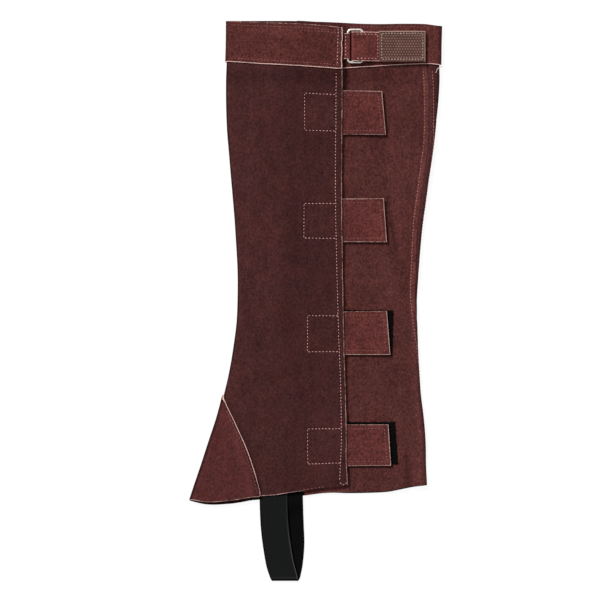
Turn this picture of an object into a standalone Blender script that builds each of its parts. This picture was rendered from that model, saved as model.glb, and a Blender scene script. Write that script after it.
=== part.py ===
"""A suede half chap that lies flat: a leg cover with a flared foot gusset, a band with a
ring and strap at the top, four hook and loop tabs and an elastic that passes under a boot.

Sizes are in millimetres and turned into metres when a mesh is made. X runs across the leg,
Y up the leg and Z up from the surface that the half chap lies on.
"""

import math
from collections import namedtuple

import bmesh
import bpy

MM = 0.001

# Cloth thicknesses, and the air left between two pieces that lie on each other.
SUEDE = 1.2
PATCH_LEATHER = 1.2
KEEPER_SUEDE = 1.0
PILE = 1.0
ELASTIC = 1.2
GAP = 0.3
LAYER = SUEDE + GAP

# Heights of the undersides of the three layers of suede, clear of band and gusset.
FLAP_LIFT = 3.3
FLAP_HEM_LIFT = 4.7
UNDER_LIFT = 1.7
CALF_FOLD_LIFT = 2.6
FLAP_OVER_PANEL = 5.2
FLAP_OVER_TABS = 6.1
FLAP_OVER_KEEPER = 9.3

FOLD_REACH = 2.2           # how far a fold's round goes out past its centre
SEAM_RIDGE = 0.5           # how much the seam's folded allowances stand up
SEAM_RIDGE_FADE = (3.5, 5.5)   # the ridge falls away between these distances from the seam
SEAM_RIDGE_START = (3.2, 3.6)  # and grows between these places in the calf fold's turn
SEAM_GAP = 0.3
GUSSET_LAP = 9.0           # the panel's cut edge lies this far in under the gusset
PANEL_TOP_MARGIN = 2.0     # the panels end this far below the band's top edge
TOP_HEIGHT = 250.0         # where the top and hem lines cross the leg, about
HEM_HEIGHT = -172.0
BAND_LAYER = (196.0, 209.0)    # the panel rises over the band between these heights
KEEPER_RISE = (188.0, 209.0)   # the flap rises over the keeper between these heights
FLAP_RAMP = (-50.0, -16.0)     # the flap rises over the layers under it between these
HEM_LIFT_RISE = (-130.0, -165.0)
GUSSET_FADE = (1.0, 9.0)       # the back sinks again between these distances past the gusset
FLAP_OVER_GUSSET = 0.8         # how far the flap rises beside the gusset, in millimetres
TAB_FADE = (3.0, 24.0)         # the flap sinks again between these distances past a tab
CALF_LIFT = (-45.0, -9.0)      # the under panel lifts between these places before its right
BAND_HOLDS_CALF = 0.8          # the share of that lift that the band holds down

# Outline of the panels' outer surface, without the band and gusset that lie outside it.
Outline = namedtuple("Outline", "y left right")
PANEL_OUTLINE = [
    Outline(-186.0, -114.8, 100.4),
    Outline(-178.4, -112.7, 100.2),
    Outline(-164.3, -108.1, 100.0),
    Outline(-148.1, -102.6, 99.2),
    Outline(-126.5, -95.6, 98.8),
    Outline(-104.9, -88.5, 97.0),
    Outline(-83.3, -82.8, 94.3),
    Outline(-61.7, -77.9, 92.6),
    Outline(-40.0, -74.3, 91.6),
    Outline(-18.5, -71.6, 90.9),
    Outline(3.2, -70.7, 90.6),
    Outline(24.8, -70.8, 92.2),
    Outline(46.4, -71.9, 93.6),
    Outline(68.0, -73.0, 95.6),
    Outline(89.6, -74.7, 99.0),
    Outline(111.2, -76.6, 102.0),
    Outline(132.8, -78.4, 105.3),
    Outline(154.4, -80.2, 107.9),
    Outline(176.0, -81.0, 110.0),
    Outline(197.6, -81.1, 111.4),
    Outline(209.0, -80.7, 111.8),
    Outline(230.0, -79.9, 112.0),
    Outline(253.0, -79.7, 112.7),
]

# The flap's raw edge on the front, and the under panel's edge hidden beneath it.
EdgeLine = namedtuple("EdgeLine", "y flap under")
EDGE_LINES = [
    EdgeLine(-172.0, 28.5, -10.5),
    EdgeLine(-163.8, 28.3, -10.5),
    EdgeLine(-148.0, 27.2, -12.6),
    EdgeLine(-129.2, 27.1, -15.0),
    EdgeLine(-100.0, 26.8, -16.4),
    EdgeLine(-30.2, 24.8, -17.0),
    EdgeLine(91.4, 23.0, -17.0),
    EdgeLine(190.4, 23.4, -17.0),
    EdgeLine(210.2, 23.4, -17.0),
    EdgeLine(222.0, 23.5, -17.0),
    EdgeLine(245.8, 24.2, -17.0),
]

# How far the gusset reaches in from the shin fold, on the front and on the back.
GussetReach = namedtuple("GussetReach", "y reach")
GUSSET_REACH = [
    GussetReach(-185.0, 64.5),
    GussetReach(-175.0, 61.7),
    GussetReach(-169.9, 59.6),
    GussetReach(-150.1, 47.3),
    GussetReach(-130.3, 33.7),
    GussetReach(-111.8, 19.2),
    GussetReach(-90.0, 2.9),
    GussetReach(-81.0, 0.0),
    GussetReach(-60.0, -12.0),
]

# Where the calf seam lies, along the suede from the calf fold, plus towards the front.
SeamLine = namedtuple("SeamLine", "y shift")
CALF_SEAM = [
    SeamLine(-172.0, -6.0),
    SeamLine(-120.0, -5.5),
    SeamLine(-74.0, -4.5),
    SeamLine(-35.0, -1.5),
    SeamLine(11.0, 2.3),
    SeamLine(56.0, 3.9),
    SeamLine(86.0, 5.2),
    SeamLine(116.0, 5.5),
    SeamLine(136.0, 5.8),
    SeamLine(146.0, 6.2),
    SeamLine(176.0, 8.8),
    SeamLine(210.0, 11.2),
    SeamLine(252.0, 11.2),
]

# Hem and top lines across the leg: the flap with its gusset, the back, the under panel.
HemLine = namedtuple("HemLine", "x front back under")
HEM_LINES = [
    HemLine(-113.0, -177.7, -179.2, -179.2),
    HemLine(-95.0, -180.5, -183.0, -183.0),
    HemLine(-75.6, -179.0, -182.3, -182.3),
    HemLine(-64.8, -177.3, -180.6, -180.6),
    HemLine(-52.0, -175.2, -178.0, -178.0),
    HemLine(-36.0, -174.1, -176.6, -176.6),
    HemLine(-23.4, -172.0, -175.7, -175.7),
    HemLine(-10.8, -170.3, -174.9, -174.9),
    HemLine(5.4, -168.2, -172.9, -172.6),
    HemLine(15.0, -167.5, -172.4, -171.8),
    HemLine(22.5, -166.8, -172.6, -171.9),
    HemLine(28.6, -164.9, -172.8, -171.9),
    HemLine(48.6, -164.9, -172.5, -171.6),
    HemLine(64.8, -164.9, -171.6, -170.8),
    HemLine(75.6, -164.9, -169.6, -168.8),
    HemLine(86.4, -164.9, -167.4, -166.7),
    HemLine(100.0, -164.9, -165.7, -165.2),
]
TopLine = namedtuple("TopLine", "x front back under")
TOP_LINES = [
    TopLine(-81.0, 252.4, 252.9, 252.9),
    TopLine(-60.0, 251.6, 252.9, 252.9),
    TopLine(-22.0, 250.0, 252.9, 252.9),
    TopLine(-10.0, 249.3, 252.5, 252.5),
    TopLine(10.0, 247.7, 251.9, 251.0),
    TopLine(25.0, 246.2, 251.2, 249.7),
    TopLine(38.0, 246.0, 250.5, 249.7),
    TopLine(57.0, 246.0, 250.1, 249.4),
    TopLine(76.0, 246.0, 250.4, 249.7),
    TopLine(97.0, 246.0, 250.2, 249.6),
    TopLine(103.0, 246.0, 249.5, 249.0),
    TopLine(113.0, 246.0, 247.9, 247.7),
]
BandEdge = namedtuple("BandEdge", "x front back under")
BAND_BOTTOM = [
    BandEdge(-81.0, 216.0, 215.0, 215.0),
    BandEdge(-41.0, 213.4, 214.0, 214.0),
    BandEdge(-7.0, 211.3, 213.0, 213.0),
    BandEdge(18.0, 209.4, 212.5, 209.9),
    BandEdge(25.0, 209.3, 212.5, 209.9),
    BandEdge(58.0, 209.3, 213.0, 212.0),
    BandEdge(101.0, 209.3, 213.8, 213.9),
    BandEdge(112.0, 209.3, 213.0, 212.6),
]

# Soft troughs pressed into the under panel: a line with its depth and half width.
Crease = namedtuple("Crease", "start end depth half_width")
CREASES = [
    Crease((62.0, 104.0), (72.0, 45.5), 1.0, 8.0),
    Crease((72.0, 45.5), (85.0, 6.0), 1.3, 8.0),
    Crease((83.7, -136.0), (84.2, -172.0), 1.9, 6.0),
]

# Closure tabs under the flap's edge, and the pile patches they press on.
Tab = namedtuple("Tab", "start end_top end_bottom top_left top_right bottom_right bottom_left")
TABS = [
    Tab(-13.5, 59.4, 62.8, 190.7, 189.3, 150.1, 150.8),
    Tab(-14.0, 60.9, 63.7, 92.2, 92.8, 53.5, 53.7),
    Tab(-10.8, 63.7, 66.8, -9.6, -8.6, -47.9, -47.9),
    Tab(-10.8, 65.1, 67.5, -110.8, -110.8, -147.6, -148.5),
]
TAB_END_LIFT = 0.9
TAB_LIFT = (-22.0, 4.0)        # a tab lifts between these places from its end
Patch = namedtuple("Patch", "start end_top end_bottom top bottom")
LOOP_PATCHES = [
    Patch(-6.0, 57.0, 60.0, 188.0, 152.5),
    Patch(-6.0, 58.5, 61.0, 90.8, 55.2),
    Patch(-6.0, 69.3, 68.4, -7.9, -47.7),
    Patch(-6.0, 70.9, 73.7, -108.5, -146.3),
]

# The ring, the keeper round its left bar, and the strap that folds over its right bar.
RING_WIRE = 0.9
RING_LEFT = 28.6
RING_RIGHT = 42.0
RING_BOTTOM = 215.0
RING_TOP = 244.4
RING_CORNER = 3.0
RING_HEIGHT = 8.9
KEEPER_START = 13.0
KEEPER_BOTTOM = 218.2
KEEPER_TOP = 241.2
KEEPER_TURN = (-90.0, 130.0)   # angles round the bar, from +X towards +Z
KeeperPoint = namedtuple("KeeperPoint", "x rise")
KEEPER_LOW = [KeeperPoint(19.0, 0.0), KeeperPoint(24.5, 0.1)]
KEEPER_HIGH = [KeeperPoint(25.4, 0.75), KeeperPoint(24.2, 0.1), KeeperPoint(22.5, 0.0)]
STRAP_FOLD = 32.4
STRAP_FOLD_RUN = 2.0           # the fold's round ends this far past its centre
STRAP_END = 97.6
STRAP_BOTTOM = 216.2
STRAP_TOP = 242.4
STRAP_OVER_RING = (44.0, 54.0)
STRAP_PATCH_START = 57.0
STRAP_PATCH_END = 98.1
STRAP_PATCH_BOTTOM = 215.7
STRAP_PATCH_TOP = 243.1

# The elastic's middle line: down from inside the front hem, folded, up inside the back hem.
ELASTIC_WIDTH = 25.0
ELASTIC_TURN_Y = -251.4
Route = namedtuple("Route", "x y z tilt")
ELASTIC_FRONT = [
    Route(-38.6, -158.0, 3.6, 0.0),
    Route(-38.4, -175.0, 3.6, 0.0),
    Route(-38.1, -188.0, 3.4, 3.0),
    Route(-37.3, -203.0, 3.1, 6.0),
    Route(-35.5, -218.3, 2.9, 8.0),
    Route(-32.4, -236.3, 2.8, 9.0),
    Route(-29.0, -248.0, 2.8, 2.0),
]
ELASTIC_BACK = [
    Route(-26.6, -248.0, 0.6, -1.0),
    Route(-24.4, -236.0, 0.6, -6.0),
    Route(-22.9, -218.3, 0.6, -3.0),
    Route(-23.4, -203.0, 0.6, 0.0),
    Route(-23.8, -193.0, 0.6, 1.0),
    Route(-24.1, -182.5, 2.1, 1.0),
    Route(-24.3, -172.0, 2.1, 0.0),
    Route(-24.3, -158.0, 2.1, 0.0),
]

# How finely the pieces are divided. Columns near the shin fold stand at a distance from it
# along the suede, or at a distance past the gusset's edge where that lies further in.
FoldColumn = namedtuple("FoldColumn", "from_fold past_gusset")
FRONT_FOLD = [
    FoldColumn(0.0, -GUSSET_LAP),
    FoldColumn(1.5, -6.0),
    FoldColumn(3.1, -3.0),
    FoldColumn(9.0, 1.0),
]
BACK_FOLD = [
    FoldColumn(0.0, -GUSSET_LAP),
    FoldColumn(1.5, -4.0),
    FoldColumn(3.1, 1.0),
    FoldColumn(8.0, 5.0),
    FoldColumn(16.0, 9.0),
]
CALF_FINE = (-14.0, 18.0)      # fine columns either side of the calf fold
FLAP_COLUMNS = 11
BACK_COLUMNS = 7
CALF_COLUMNS = 9
UNDER_COLUMNS = 11
BAND_ROWS = [209.0, 202.5, 196.0]
SHAFT_ROWS = [184.0 - 13.2 * i for i in range(19)]
TOE_ROWS = [-66.0, -75.0]
GUSSET_ROWS = [-84.0, -88.0, -92.0, -96.5, -104.0, -116.0, -129.0, -142.0, -155.0]
FIXED_ROWS = BAND_ROWS + SHAFT_ROWS + TOE_ROWS + GUSSET_ROWS
NOTCH_ROW = len(FIXED_ROWS) - len(GUSSET_ROWS) + 3    # the fixed row where the notch starts
GUSSET_COLUMNS = 8
GussetColumn = namedtuple("GussetColumn", "from_fold share_of_reach")
GUSSET_FOLD = [GussetColumn(0.0, 0.0), GussetColumn(1.5, 0.3), GussetColumn(3.1, 0.6)]
BAND_MIDDLE = 230.0
BAND_CELL_ROWS = 3
PILE_CELLS = (6, 2)
TAB_CELLS = (9, 2)
STRAP_PATCH_CELLS = (8, 1)
STRAP_RUN = 10
STRAP_TURN_STEPS = 8
KEEPER_TURN_STEPS = 9
WIRE_SIDES = 8
WIRE_CORNER_STEPS = 5
ELASTIC_TURN_STEPS = 7
ELASTIC_COLUMNS = 2


# ---------------------------------------------------------------- numbers

def smooth(start, end, value):
    """0 before start and 1 after end, with an even rise between them."""
    t = (value - start) / (end - start)
    t = min(1.0, max(0.0, t))
    return t * t * (3.0 - 2.0 * t)


def mix(a, b, t):
    return a + (b - a) * t


def read(table, at, column):
    """A column's value at a place in the table's first column, on a smooth curve."""
    keys = [row[0] for row in table]
    values = [getattr(row, column) for row in table]
    if at <= keys[0]:
        return values[0]
    if at >= keys[-1]:
        return values[-1]
    i = next(k for k in range(1, len(keys)) if at <= keys[k]) - 1

    def slope(k):
        a, b = max(k - 1, 0), min(k + 1, len(keys) - 1)
        return (values[b] - values[a]) / (keys[b] - keys[a])

    width = keys[i + 1] - keys[i]
    t = (at - keys[i]) / width
    rise = values[i + 1] - values[i]
    bend_a = slope(i) * width - rise
    bend_b = rise - slope(i + 1) * width
    return mix(values[i], values[i + 1], t) + t * (1 - t) * (bend_a * (1 - t) + bend_b * t)


# ---------------------------------------------------------------- the suede's layers

def reach(y):
    return read(GUSSET_REACH, y, "reach")


def gusset_rise(x, y):
    """How much of a layer the back rises to lie over the gusset's overlap."""
    inward = x - read(PANEL_OUTLINE, y, "left")
    return 1.0 - smooth(*GUSSET_FADE, inward - reach(y))


def over_tabs(y):
    """1 over a tab, falling to 0 between tabs."""
    cover = 0.0
    for tab in TABS:
        middle = (tab.top_left + tab.bottom_left) / 2
        half = (tab.top_left - tab.bottom_left) / 2
        cover = max(cover, 1.0 - smooth(*TAB_FADE, abs(y - middle) - half))
    return cover


def crease_depth(x, y):
    """How far the troughs press the under panel down at a place."""
    depth = 0.0
    for crease in CREASES:
        (ax, ay), (bx, by) = crease.start, crease.end
        length = math.hypot(bx - ax, by - ay)
        along = ((x - ax) * (bx - ax) + (y - ay) * (by - ay)) / length
        across = ((x - ax) * (by - ay) - (y - ay) * (bx - ax)) / length
        overrun = max(-along, along - length, 0.0)
        far = math.hypot(across / crease.half_width, overrun / (2 * crease.half_width))
        depth = max(depth, crease.depth * (1.0 - smooth(0.0, 1.0, far)))
    return depth


def back_floor(x, y):
    """Underside of the back layer. It is 0 but for where the band or gusset lies under it."""
    return LAYER * max(smooth(*BAND_LAYER, y), gusset_rise(x, y))


def flap_floor(x, y):
    """Underside of the front layer from the flap's edge to the shin fold."""
    band = smooth(*BAND_LAYER, y)
    low = mix(FLAP_LIFT, FLAP_HEM_LIFT, smooth(*HEM_LIFT_RISE, y))
    gusset = gusset_rise(x, y) * (1.0 - smooth(*HEM_LIFT_RISE, y))
    low += LAYER * band + FLAP_OVER_GUSSET * gusset
    high = mix(FLAP_OVER_PANEL, FLAP_OVER_TABS, over_tabs(y))
    high = mix(high, FLAP_OVER_KEEPER, smooth(*KEEPER_RISE, y))
    return mix(low, high, smooth(*FLAP_RAMP, x))


def under_floor(x, y):
    """Underside of the under panel, which lifts towards the calf fold."""
    band = smooth(*BAND_LAYER, y)
    right = read(PANEL_OUTLINE, y, "right")
    lift = CALF_FOLD_LIFT * smooth(*CALF_LIFT, x - right) * (1.0 - BAND_HOLDS_CALF * band)
    return UNDER_LIFT + LAYER * band + max(0.0, lift - crease_depth(x, y))


def fold_ends(y):
    """The centres of the shin fold and of the calf fold."""
    inset = SUEDE / 2 + FOLD_REACH
    return read(PANEL_OUTLINE, y, "left") + inset, read(PANEL_OUTLINE, y, "right") - inset


def wrap_middle(u, y):
    """The suede's middle line round the leg at one height, as x and z.

    u runs 0 to 1 from the flap's edge to the shin fold, 1 to 2 round that fold, 2 to 3
    across the back, 3 to 4 round the calf fold and 4 to 5 to the under panel's edge.
    """
    shin, calf = fold_ends(y)
    half = SUEDE / 2
    if u <= 1.0:
        x = mix(read(EDGE_LINES, y, "flap"), shin, u)
        return x, flap_floor(x, y) + half
    if u < 2.0:
        top, bottom = flap_floor(shin, y) + half, back_floor(shin, y) + half
        turn = math.pi * (u - 1.0)
        height = (top + bottom) / 2 + (top - bottom) / 2 * math.cos(turn)
        return shin - FOLD_REACH * math.sin(turn), height
    if u <= 3.0:
        x = mix(shin, calf, u - 2.0)
        return x, back_floor(x, y) + half
    if u < 4.0:
        top, bottom = under_floor(calf, y) + half, back_floor(calf, y) + half
        turn = math.pi * (u - 3.0)
        height = (top + bottom) / 2 - (top - bottom) / 2 * math.cos(turn)
        return calf + FOLD_REACH * math.sin(turn), height
    x = mix(calf, read(EDGE_LINES, y, "under"), u - 4.0)
    return x, under_floor(x, y) + half


def wrap_point(u, y, out):
    """A point that lies out from the suede's middle line, along its outward normal."""
    small = 0.004
    ax, az = wrap_middle(max(0.0, u - small), y)
    bx, bz = wrap_middle(min(5.0, u + small), y)
    length = math.hypot(bx - ax, bz - az)
    x, z = wrap_middle(u, y)
    return x + out * (bz - az) / length, y, z - out * (bx - ax) / length


def quarter_fold(y, shin_fold):
    """Length of the suede over a quarter turn of a fold."""
    shin, calf = fold_ends(y)
    if shin_fold:
        rise = (flap_floor(shin, y) - back_floor(shin, y)) / 2
    else:
        rise = (under_floor(calf, y) - back_floor(calf, y)) / 2
    return math.pi / 2 * math.sqrt((FOLD_REACH ** 2 + rise ** 2) / 2)


def u_from_shin(distance, y):
    """u at a distance along the suede from the shin fold, minus on the front."""
    quarter = quarter_fold(y, True)
    if abs(distance) <= quarter:
        return 1.5 + 0.5 * distance / quarter
    shin, calf = fold_ends(y)
    run = abs(distance) - quarter
    if distance < 0:
        return 1.0 - run / (read(EDGE_LINES, y, "flap") - shin)
    return 2.0 + run / (calf - shin)


def u_from_calf(distance, y):
    """u at a distance along the suede from the calf fold, plus on the front."""
    quarter = quarter_fold(y, False)
    if abs(distance) <= quarter:
        return 3.5 + 0.5 * distance / quarter
    shin, calf = fold_ends(y)
    run = abs(distance) - quarter
    if distance > 0:
        return 4.0 + run / (calf - read(EDGE_LINES, y, "under"))
    return 3.0 - run / (calf - shin)


def columns_at(y):
    """u of every column of the wrap at one height: flap side, back side, calf, under."""
    lap = reach(y)
    front = [max(place.from_fold, lap + place.past_gusset) for place in FRONT_FOLD]
    near = [u_from_shin(-distance, y) for distance in front]
    flap = [mix(0.0, near[-1], i / FLAP_COLUMNS) for i in range(FLAP_COLUMNS)]
    flap += list(reversed(near))

    rear = [max(place.from_fold, lap + place.past_gusset) for place in BACK_FOLD]
    back = [u_from_shin(distance, y) for distance in rear]
    calf_start = u_from_calf(CALF_FINE[0], y)
    back += [mix(back[-1], calf_start, (i + 1) / BACK_COLUMNS) for i in range(BACK_COLUMNS)]

    seam = read(CALF_SEAM, y, "shift")
    calf = [u_from_calf(mix(CALF_FINE[0], seam - SEAM_GAP / 2, (i + 1) / CALF_COLUMNS), y)
            for i in range(CALF_COLUMNS)]
    under = [u_from_calf(mix(seam + SEAM_GAP / 2, CALF_FINE[1], i / CALF_COLUMNS), y)
             for i in range(CALF_COLUMNS + 1)]
    last = under[-1]
    under += [mix(last, 5.0, (i + 1) / UNDER_COLUMNS) for i in range(UNDER_COLUMNS)]
    return flap, back, calf, under


def line_at(table, u, x):
    """A hem or top line's height for the layer that u is in."""
    front, back = read(table, x, "front"), read(table, x, "back")
    under = read(table, x, "under")
    if u < 2.5:
        return mix(front, back, smooth(1.0, 2.0, u))
    return mix(back, under, smooth(3.0, 4.0, u))


def ridge_at(u, y):
    """How much the suede stands up over the calf seam's allowances, clear of the surface."""
    here = wrap_middle(u, y)
    seam = wrap_middle(u_from_calf(read(CALF_SEAM, y, "shift"), y), y)
    away = math.hypot(here[0] - seam[0], here[1] - seam[1])
    height = SEAM_RIDGE * (1.0 - smooth(*BAND_LAYER, y)) * smooth(*SEAM_RIDGE_START, u)
    return height * (1.0 - smooth(*SEAM_RIDGE_FADE, away))


# ---------------------------------------------------------------- meshes

def add_object(name, vertices, faces, material):
    """One closed mesh object from points in millimetres."""
    mesh = bpy.data.meshes.new(name)
    mesh.from_pydata([tuple(c * MM for c in point) for point in vertices], [], faces)
    shape = bmesh.new()
    shape.from_mesh(mesh)
    bmesh.ops.recalc_face_normals(shape, faces=shape.faces)
    shape.to_mesh(mesh)
    shape.free()
    mesh.materials.append(material)
    obj = bpy.data.objects.new(name, mesh)
    bpy.context.scene.collection.objects.link(obj)
    return obj


def thick_sheet(name, cells, outer, inner, material):
    """A wall from a sheet of four-sided cells, whose keys give outer and inner points.

    Every cell and rim is cut along the same diagonal, so walls that face each other match.
    """
    keys = sorted({key for cell in cells for key in cell})
    number = {key: i for i, key in enumerate(keys)}
    vertices = [outer(key) for key in keys] + [inner(key) for key in keys]
    count = len(keys)
    faces, borders = [], set()
    for cell in cells:
        a, b, c, d = (number[key] for key in cell)
        for triangle in ((a, b, c), (a, c, d)):
            faces.append(triangle)
            faces.append(tuple(i + count for i in reversed(triangle)))
        for edge in ((a, b), (b, c), (c, d), (d, a)):
            if edge[::-1] in borders:
                borders.remove(edge[::-1])
            else:
                borders.add(edge)
    for a, b in sorted(borders):
        if a < b:
            faces += [(b, a, a + count), (b, a + count, b + count)]
        else:
            faces += [(b, a, b + count), (a, a + count, b + count)]
    return add_object(name, vertices, faces, material)


def grid_cells(columns, rows):
    """Cells of a grid, keyed by column and row, turned to face outwards."""
    return [((c, r), (c, r + 1), (c + 1, r + 1), (c + 1, r))
            for c in range(columns) for r in range(rows)]


def row_heights(u_top, u_hem):
    """Heights of a panel column's rows: its own top and hem, and fixed rows between them."""
    top = line_at(TOP_LINES, u_top, wrap_middle(u_top, TOP_HEIGHT)[0]) - PANEL_TOP_MARGIN
    hem = line_at(HEM_LINES, u_hem, wrap_middle(u_hem, HEM_HEIGHT)[0])
    rows = [top, mix(top, FIXED_ROWS[0], 0.5)] + FIXED_ROWS
    return rows + [mix(FIXED_ROWS[-1], hem, 0.5), hem]


def build_main_panel(material):
    """One panel from the flap's edge round the shin fold and the back to the calf seam.

    Below its apex a notch parts the front from the back, and the gusset covers it.
    """
    notch_row = NOTCH_ROW + 2
    flap_count = FLAP_COLUMNS + len(FRONT_FOLD)
    back_count = len(BACK_FOLD) + BACK_COLUMNS + CALF_COLUMNS

    def u_at(side, column, y):
        flap, back, calf, _ = columns_at(y)
        return flap[column] if side == 0 else (back + calf)[column]

    heights = {}
    for side, count in ((0, flap_count), (1, back_count)):
        for column in range(count):
            heights[side, column] = row_heights(
                u_at(side, column, TOP_HEIGHT), u_at(side, column, HEM_HEIGHT))
    row_count = len(FIXED_ROWS) + 3

    def key(side, column, row):
        if side == 1 and column == 0 and row <= notch_row:
            return 0, flap_count - 1, row
        return side, column, row

    cells = [(key(side, c, r), key(side, c, r + 1), key(side, c + 1, r + 1), key(side, c + 1, r))
             for side, count in ((0, flap_count), (1, back_count))
             for c in range(count - 1) for r in range(row_count)]

    def place(out_face):
        def point(k):
            side, column, row = k
            y = heights[side, column][row]
            u = u_at(side, column, y)
            out = SUEDE / 2 + ridge_at(u, y) if out_face else -SUEDE / 2
            return wrap_point(u, y, out)
        return point

    return thick_sheet("main_panel", cells, place(True), place(False), material)


def build_under_panel(material):
    """The calf panel from the seam to its edge hidden under the flap."""
    count = CALF_COLUMNS + 1 + UNDER_COLUMNS

    def u_at(column, y):
        return columns_at(y)[3][column]

    heights = [row_heights(u_at(c, TOP_HEIGHT), u_at(c, HEM_HEIGHT)) for c in range(count)]

    def place(out_face):
        def point(k):
            column, row = k
            y = heights[column][row]
            u = u_at(column, y)
            out = SUEDE / 2 + ridge_at(u, y) if out_face else -SUEDE / 2
            return wrap_point(u, y, out)
        return point

    cells = grid_cells(count - 1, len(FIXED_ROWS) + 3)
    return thick_sheet("under_panel", cells, place(True), place(False), material)


def build_top_band(material):
    """The band round the top, one layer out from the panels."""
    flap, back, calf, under = columns_at(BAND_MIDDLE)
    columns = flap + back[1:] + calf + under[1:]

    def place(out):
        def point(k):
            u = columns[k[0]]
            x = wrap_middle(u, BAND_MIDDLE)[0]
            top, bottom = line_at(TOP_LINES, u, x), line_at(BAND_BOTTOM, u, x)
            return wrap_point(u, mix(top, bottom, k[1] / BAND_CELL_ROWS), out)
        return point

    cells = grid_cells(len(columns) - 1, BAND_CELL_ROWS)
    out = SUEDE / 2 + GAP
    return thick_sheet("top_band", cells, place(out + SUEDE), place(out), material)


def build_foot_gusset(material):
    """The flared toe piece, wrapped round the shin fold one layer out from the panel."""
    half = GUSSET_COLUMNS

    def u_at(column, y):
        side, lap, last = abs(column - half), reach(y), len(GUSSET_FOLD) - 1
        fold = GUSSET_FOLD[min(side, last)]
        distance = min(fold.from_fold, fold.share_of_reach * lap)
        if side > last:
            distance = mix(distance, lap, (side - last) / (half - last))
        return u_from_shin(math.copysign(distance, column - half), y)

    def place(out):
        def point(k):
            column, row = k
            u_hem = u_at(column, HEM_HEIGHT)
            hem = line_at(HEM_LINES, u_hem, wrap_middle(u_hem, HEM_HEIGHT)[0])
            y = (GUSSET_ROWS + [mix(GUSSET_ROWS[-1], hem, 0.5), hem])[row]
            return wrap_point(u_at(column, y), y, out)
        return point

    cells = grid_cells(2 * half, len(GUSSET_ROWS) + 1)
    out = SUEDE / 2 + GAP
    return thick_sheet("foot_gusset", cells, place(out + SUEDE), place(out), material)


def pad(name, corners, cells, floor, thickness, material):
    """A flat piece laid on a height: corners are top left, top right, bottom right, left."""
    (tl, tr, br, bl), (columns, rows) = corners, cells

    def place(lift):
        def point(k):
            s, t = k[0] / columns, k[1] / rows
            x = mix(mix(tl[0], tr[0], s), mix(bl[0], br[0], s), t)
            y = mix(mix(tl[1], tr[1], s), mix(bl[1], br[1], s), t)
            return x, y, floor(x, y) + lift
        return point

    return thick_sheet(name, grid_cells(columns, rows), place(thickness), place(0.0), material)


def on_under_panel(x, y):
    return under_floor(x, y) + SUEDE + GAP


def build_closures(suede, pile):
    """Four pile patches on the under panel and the four tabs that press on them."""
    for i, (tab, patch) in enumerate(zip(TABS, LOOP_PATCHES), 1):
        corners = [(patch.start, patch.top), (patch.end_top, patch.top),
                   (patch.end_bottom, patch.bottom), (patch.start, patch.bottom)]
        pad(f"loop_patch_{i}", corners, PILE_CELLS, on_under_panel, PILE, pile)

        def tab_floor(x, y, end=tab.end_top):
            lift = TAB_END_LIFT * smooth(*TAB_LIFT, x - end)
            return on_under_panel(x, y) + PILE + GAP + lift

        corners = [(tab.start, tab.top_left), (tab.end_top, tab.top_right),
                   (tab.end_bottom, tab.bottom_right), (tab.start, tab.bottom_left)]
        pad(f"closure_tab_{i}", corners, TAB_CELLS, tab_floor, SUEDE, suede)


def ribbon(name, path, bottom, top, thickness, material):
    """A strip with a path of x and z points, as wide as bottom to top along Y."""
    def normal(i):
        (ax, az), (bx, bz) = path[max(i - 1, 0)], path[min(i + 1, len(path) - 1)]
        length = math.hypot(bx - ax, bz - az)
        return (bz - az) / length, -(bx - ax) / length

    def place(out):
        def point(k):
            nx, nz = normal(k[0])
            x, z = path[k[0]]
            return x + nx * out, mix(top, bottom, k[1]), z + nz * out
        return point

    cells = grid_cells(len(path) - 1, 1)
    half = thickness / 2
    return thick_sheet(name, cells, place(half), place(-half), material)


def arc(centre, radius, start, end, steps):
    """Points on an arc of a circle in X and Z, angles in degrees from +X towards +Z."""
    points = []
    for i in range(steps + 1):
        angle = math.radians(mix(start, end, i / steps))
        points.append((centre[0] + radius * math.cos(angle), centre[1] + radius * math.sin(angle)))
    return points


def band_top(x):
    """Top of the band on the under panel, at the strap's height up the leg."""
    return under_floor(x, (STRAP_TOP + STRAP_BOTTOM) / 2) + SUEDE + LAYER


def build_ring_keeper(material):
    """A strip folded round the ring's left bar, both its ends under the flap."""
    low = band_top(KEEPER_START) + GAP + KEEPER_SUEDE / 2
    high = low + KEEPER_SUEDE + GAP
    round_bar = RING_WIRE + GAP + KEEPER_SUEDE / 2
    path = [(KEEPER_START, low)] + [(point.x, low + point.rise) for point in KEEPER_LOW]
    path += arc((RING_LEFT, RING_HEIGHT), round_bar, *KEEPER_TURN, KEEPER_TURN_STEPS)
    path += [(point.x, high + point.rise) for point in KEEPER_HIGH] + [(KEEPER_START, high)]
    return ribbon("ring_keeper", path, KEEPER_BOTTOM, KEEPER_TOP, KEEPER_SUEDE, material)


def strap_low(x):
    return band_top(x) + GAP + SUEDE / 2


def strap_path():
    """From the sewn right end to the ring, round it and back over itself."""
    over_ring = RING_HEIGHT + RING_WIRE + GAP + SUEDE / 2
    low = strap_low(STRAP_FOLD)
    radius = (over_ring - low) / 2
    centre = (STRAP_FOLD + radius, (over_ring + low) / 2)
    fold = centre[0] + STRAP_FOLD_RUN
    path = []
    for i in range(STRAP_RUN):
        x = mix(STRAP_END, fold, i / (STRAP_RUN - 1))
        path.append((x, strap_low(x)))
    path += arc(centre, radius, -90.0, -270.0, STRAP_TURN_STEPS)
    for i in range(STRAP_RUN + 4):
        x = mix(fold, STRAP_END, i / (STRAP_RUN + 3))
        path.append((x, mix(over_ring, strap_low(x) + LAYER, smooth(*STRAP_OVER_RING, x))))
    return path


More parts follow.
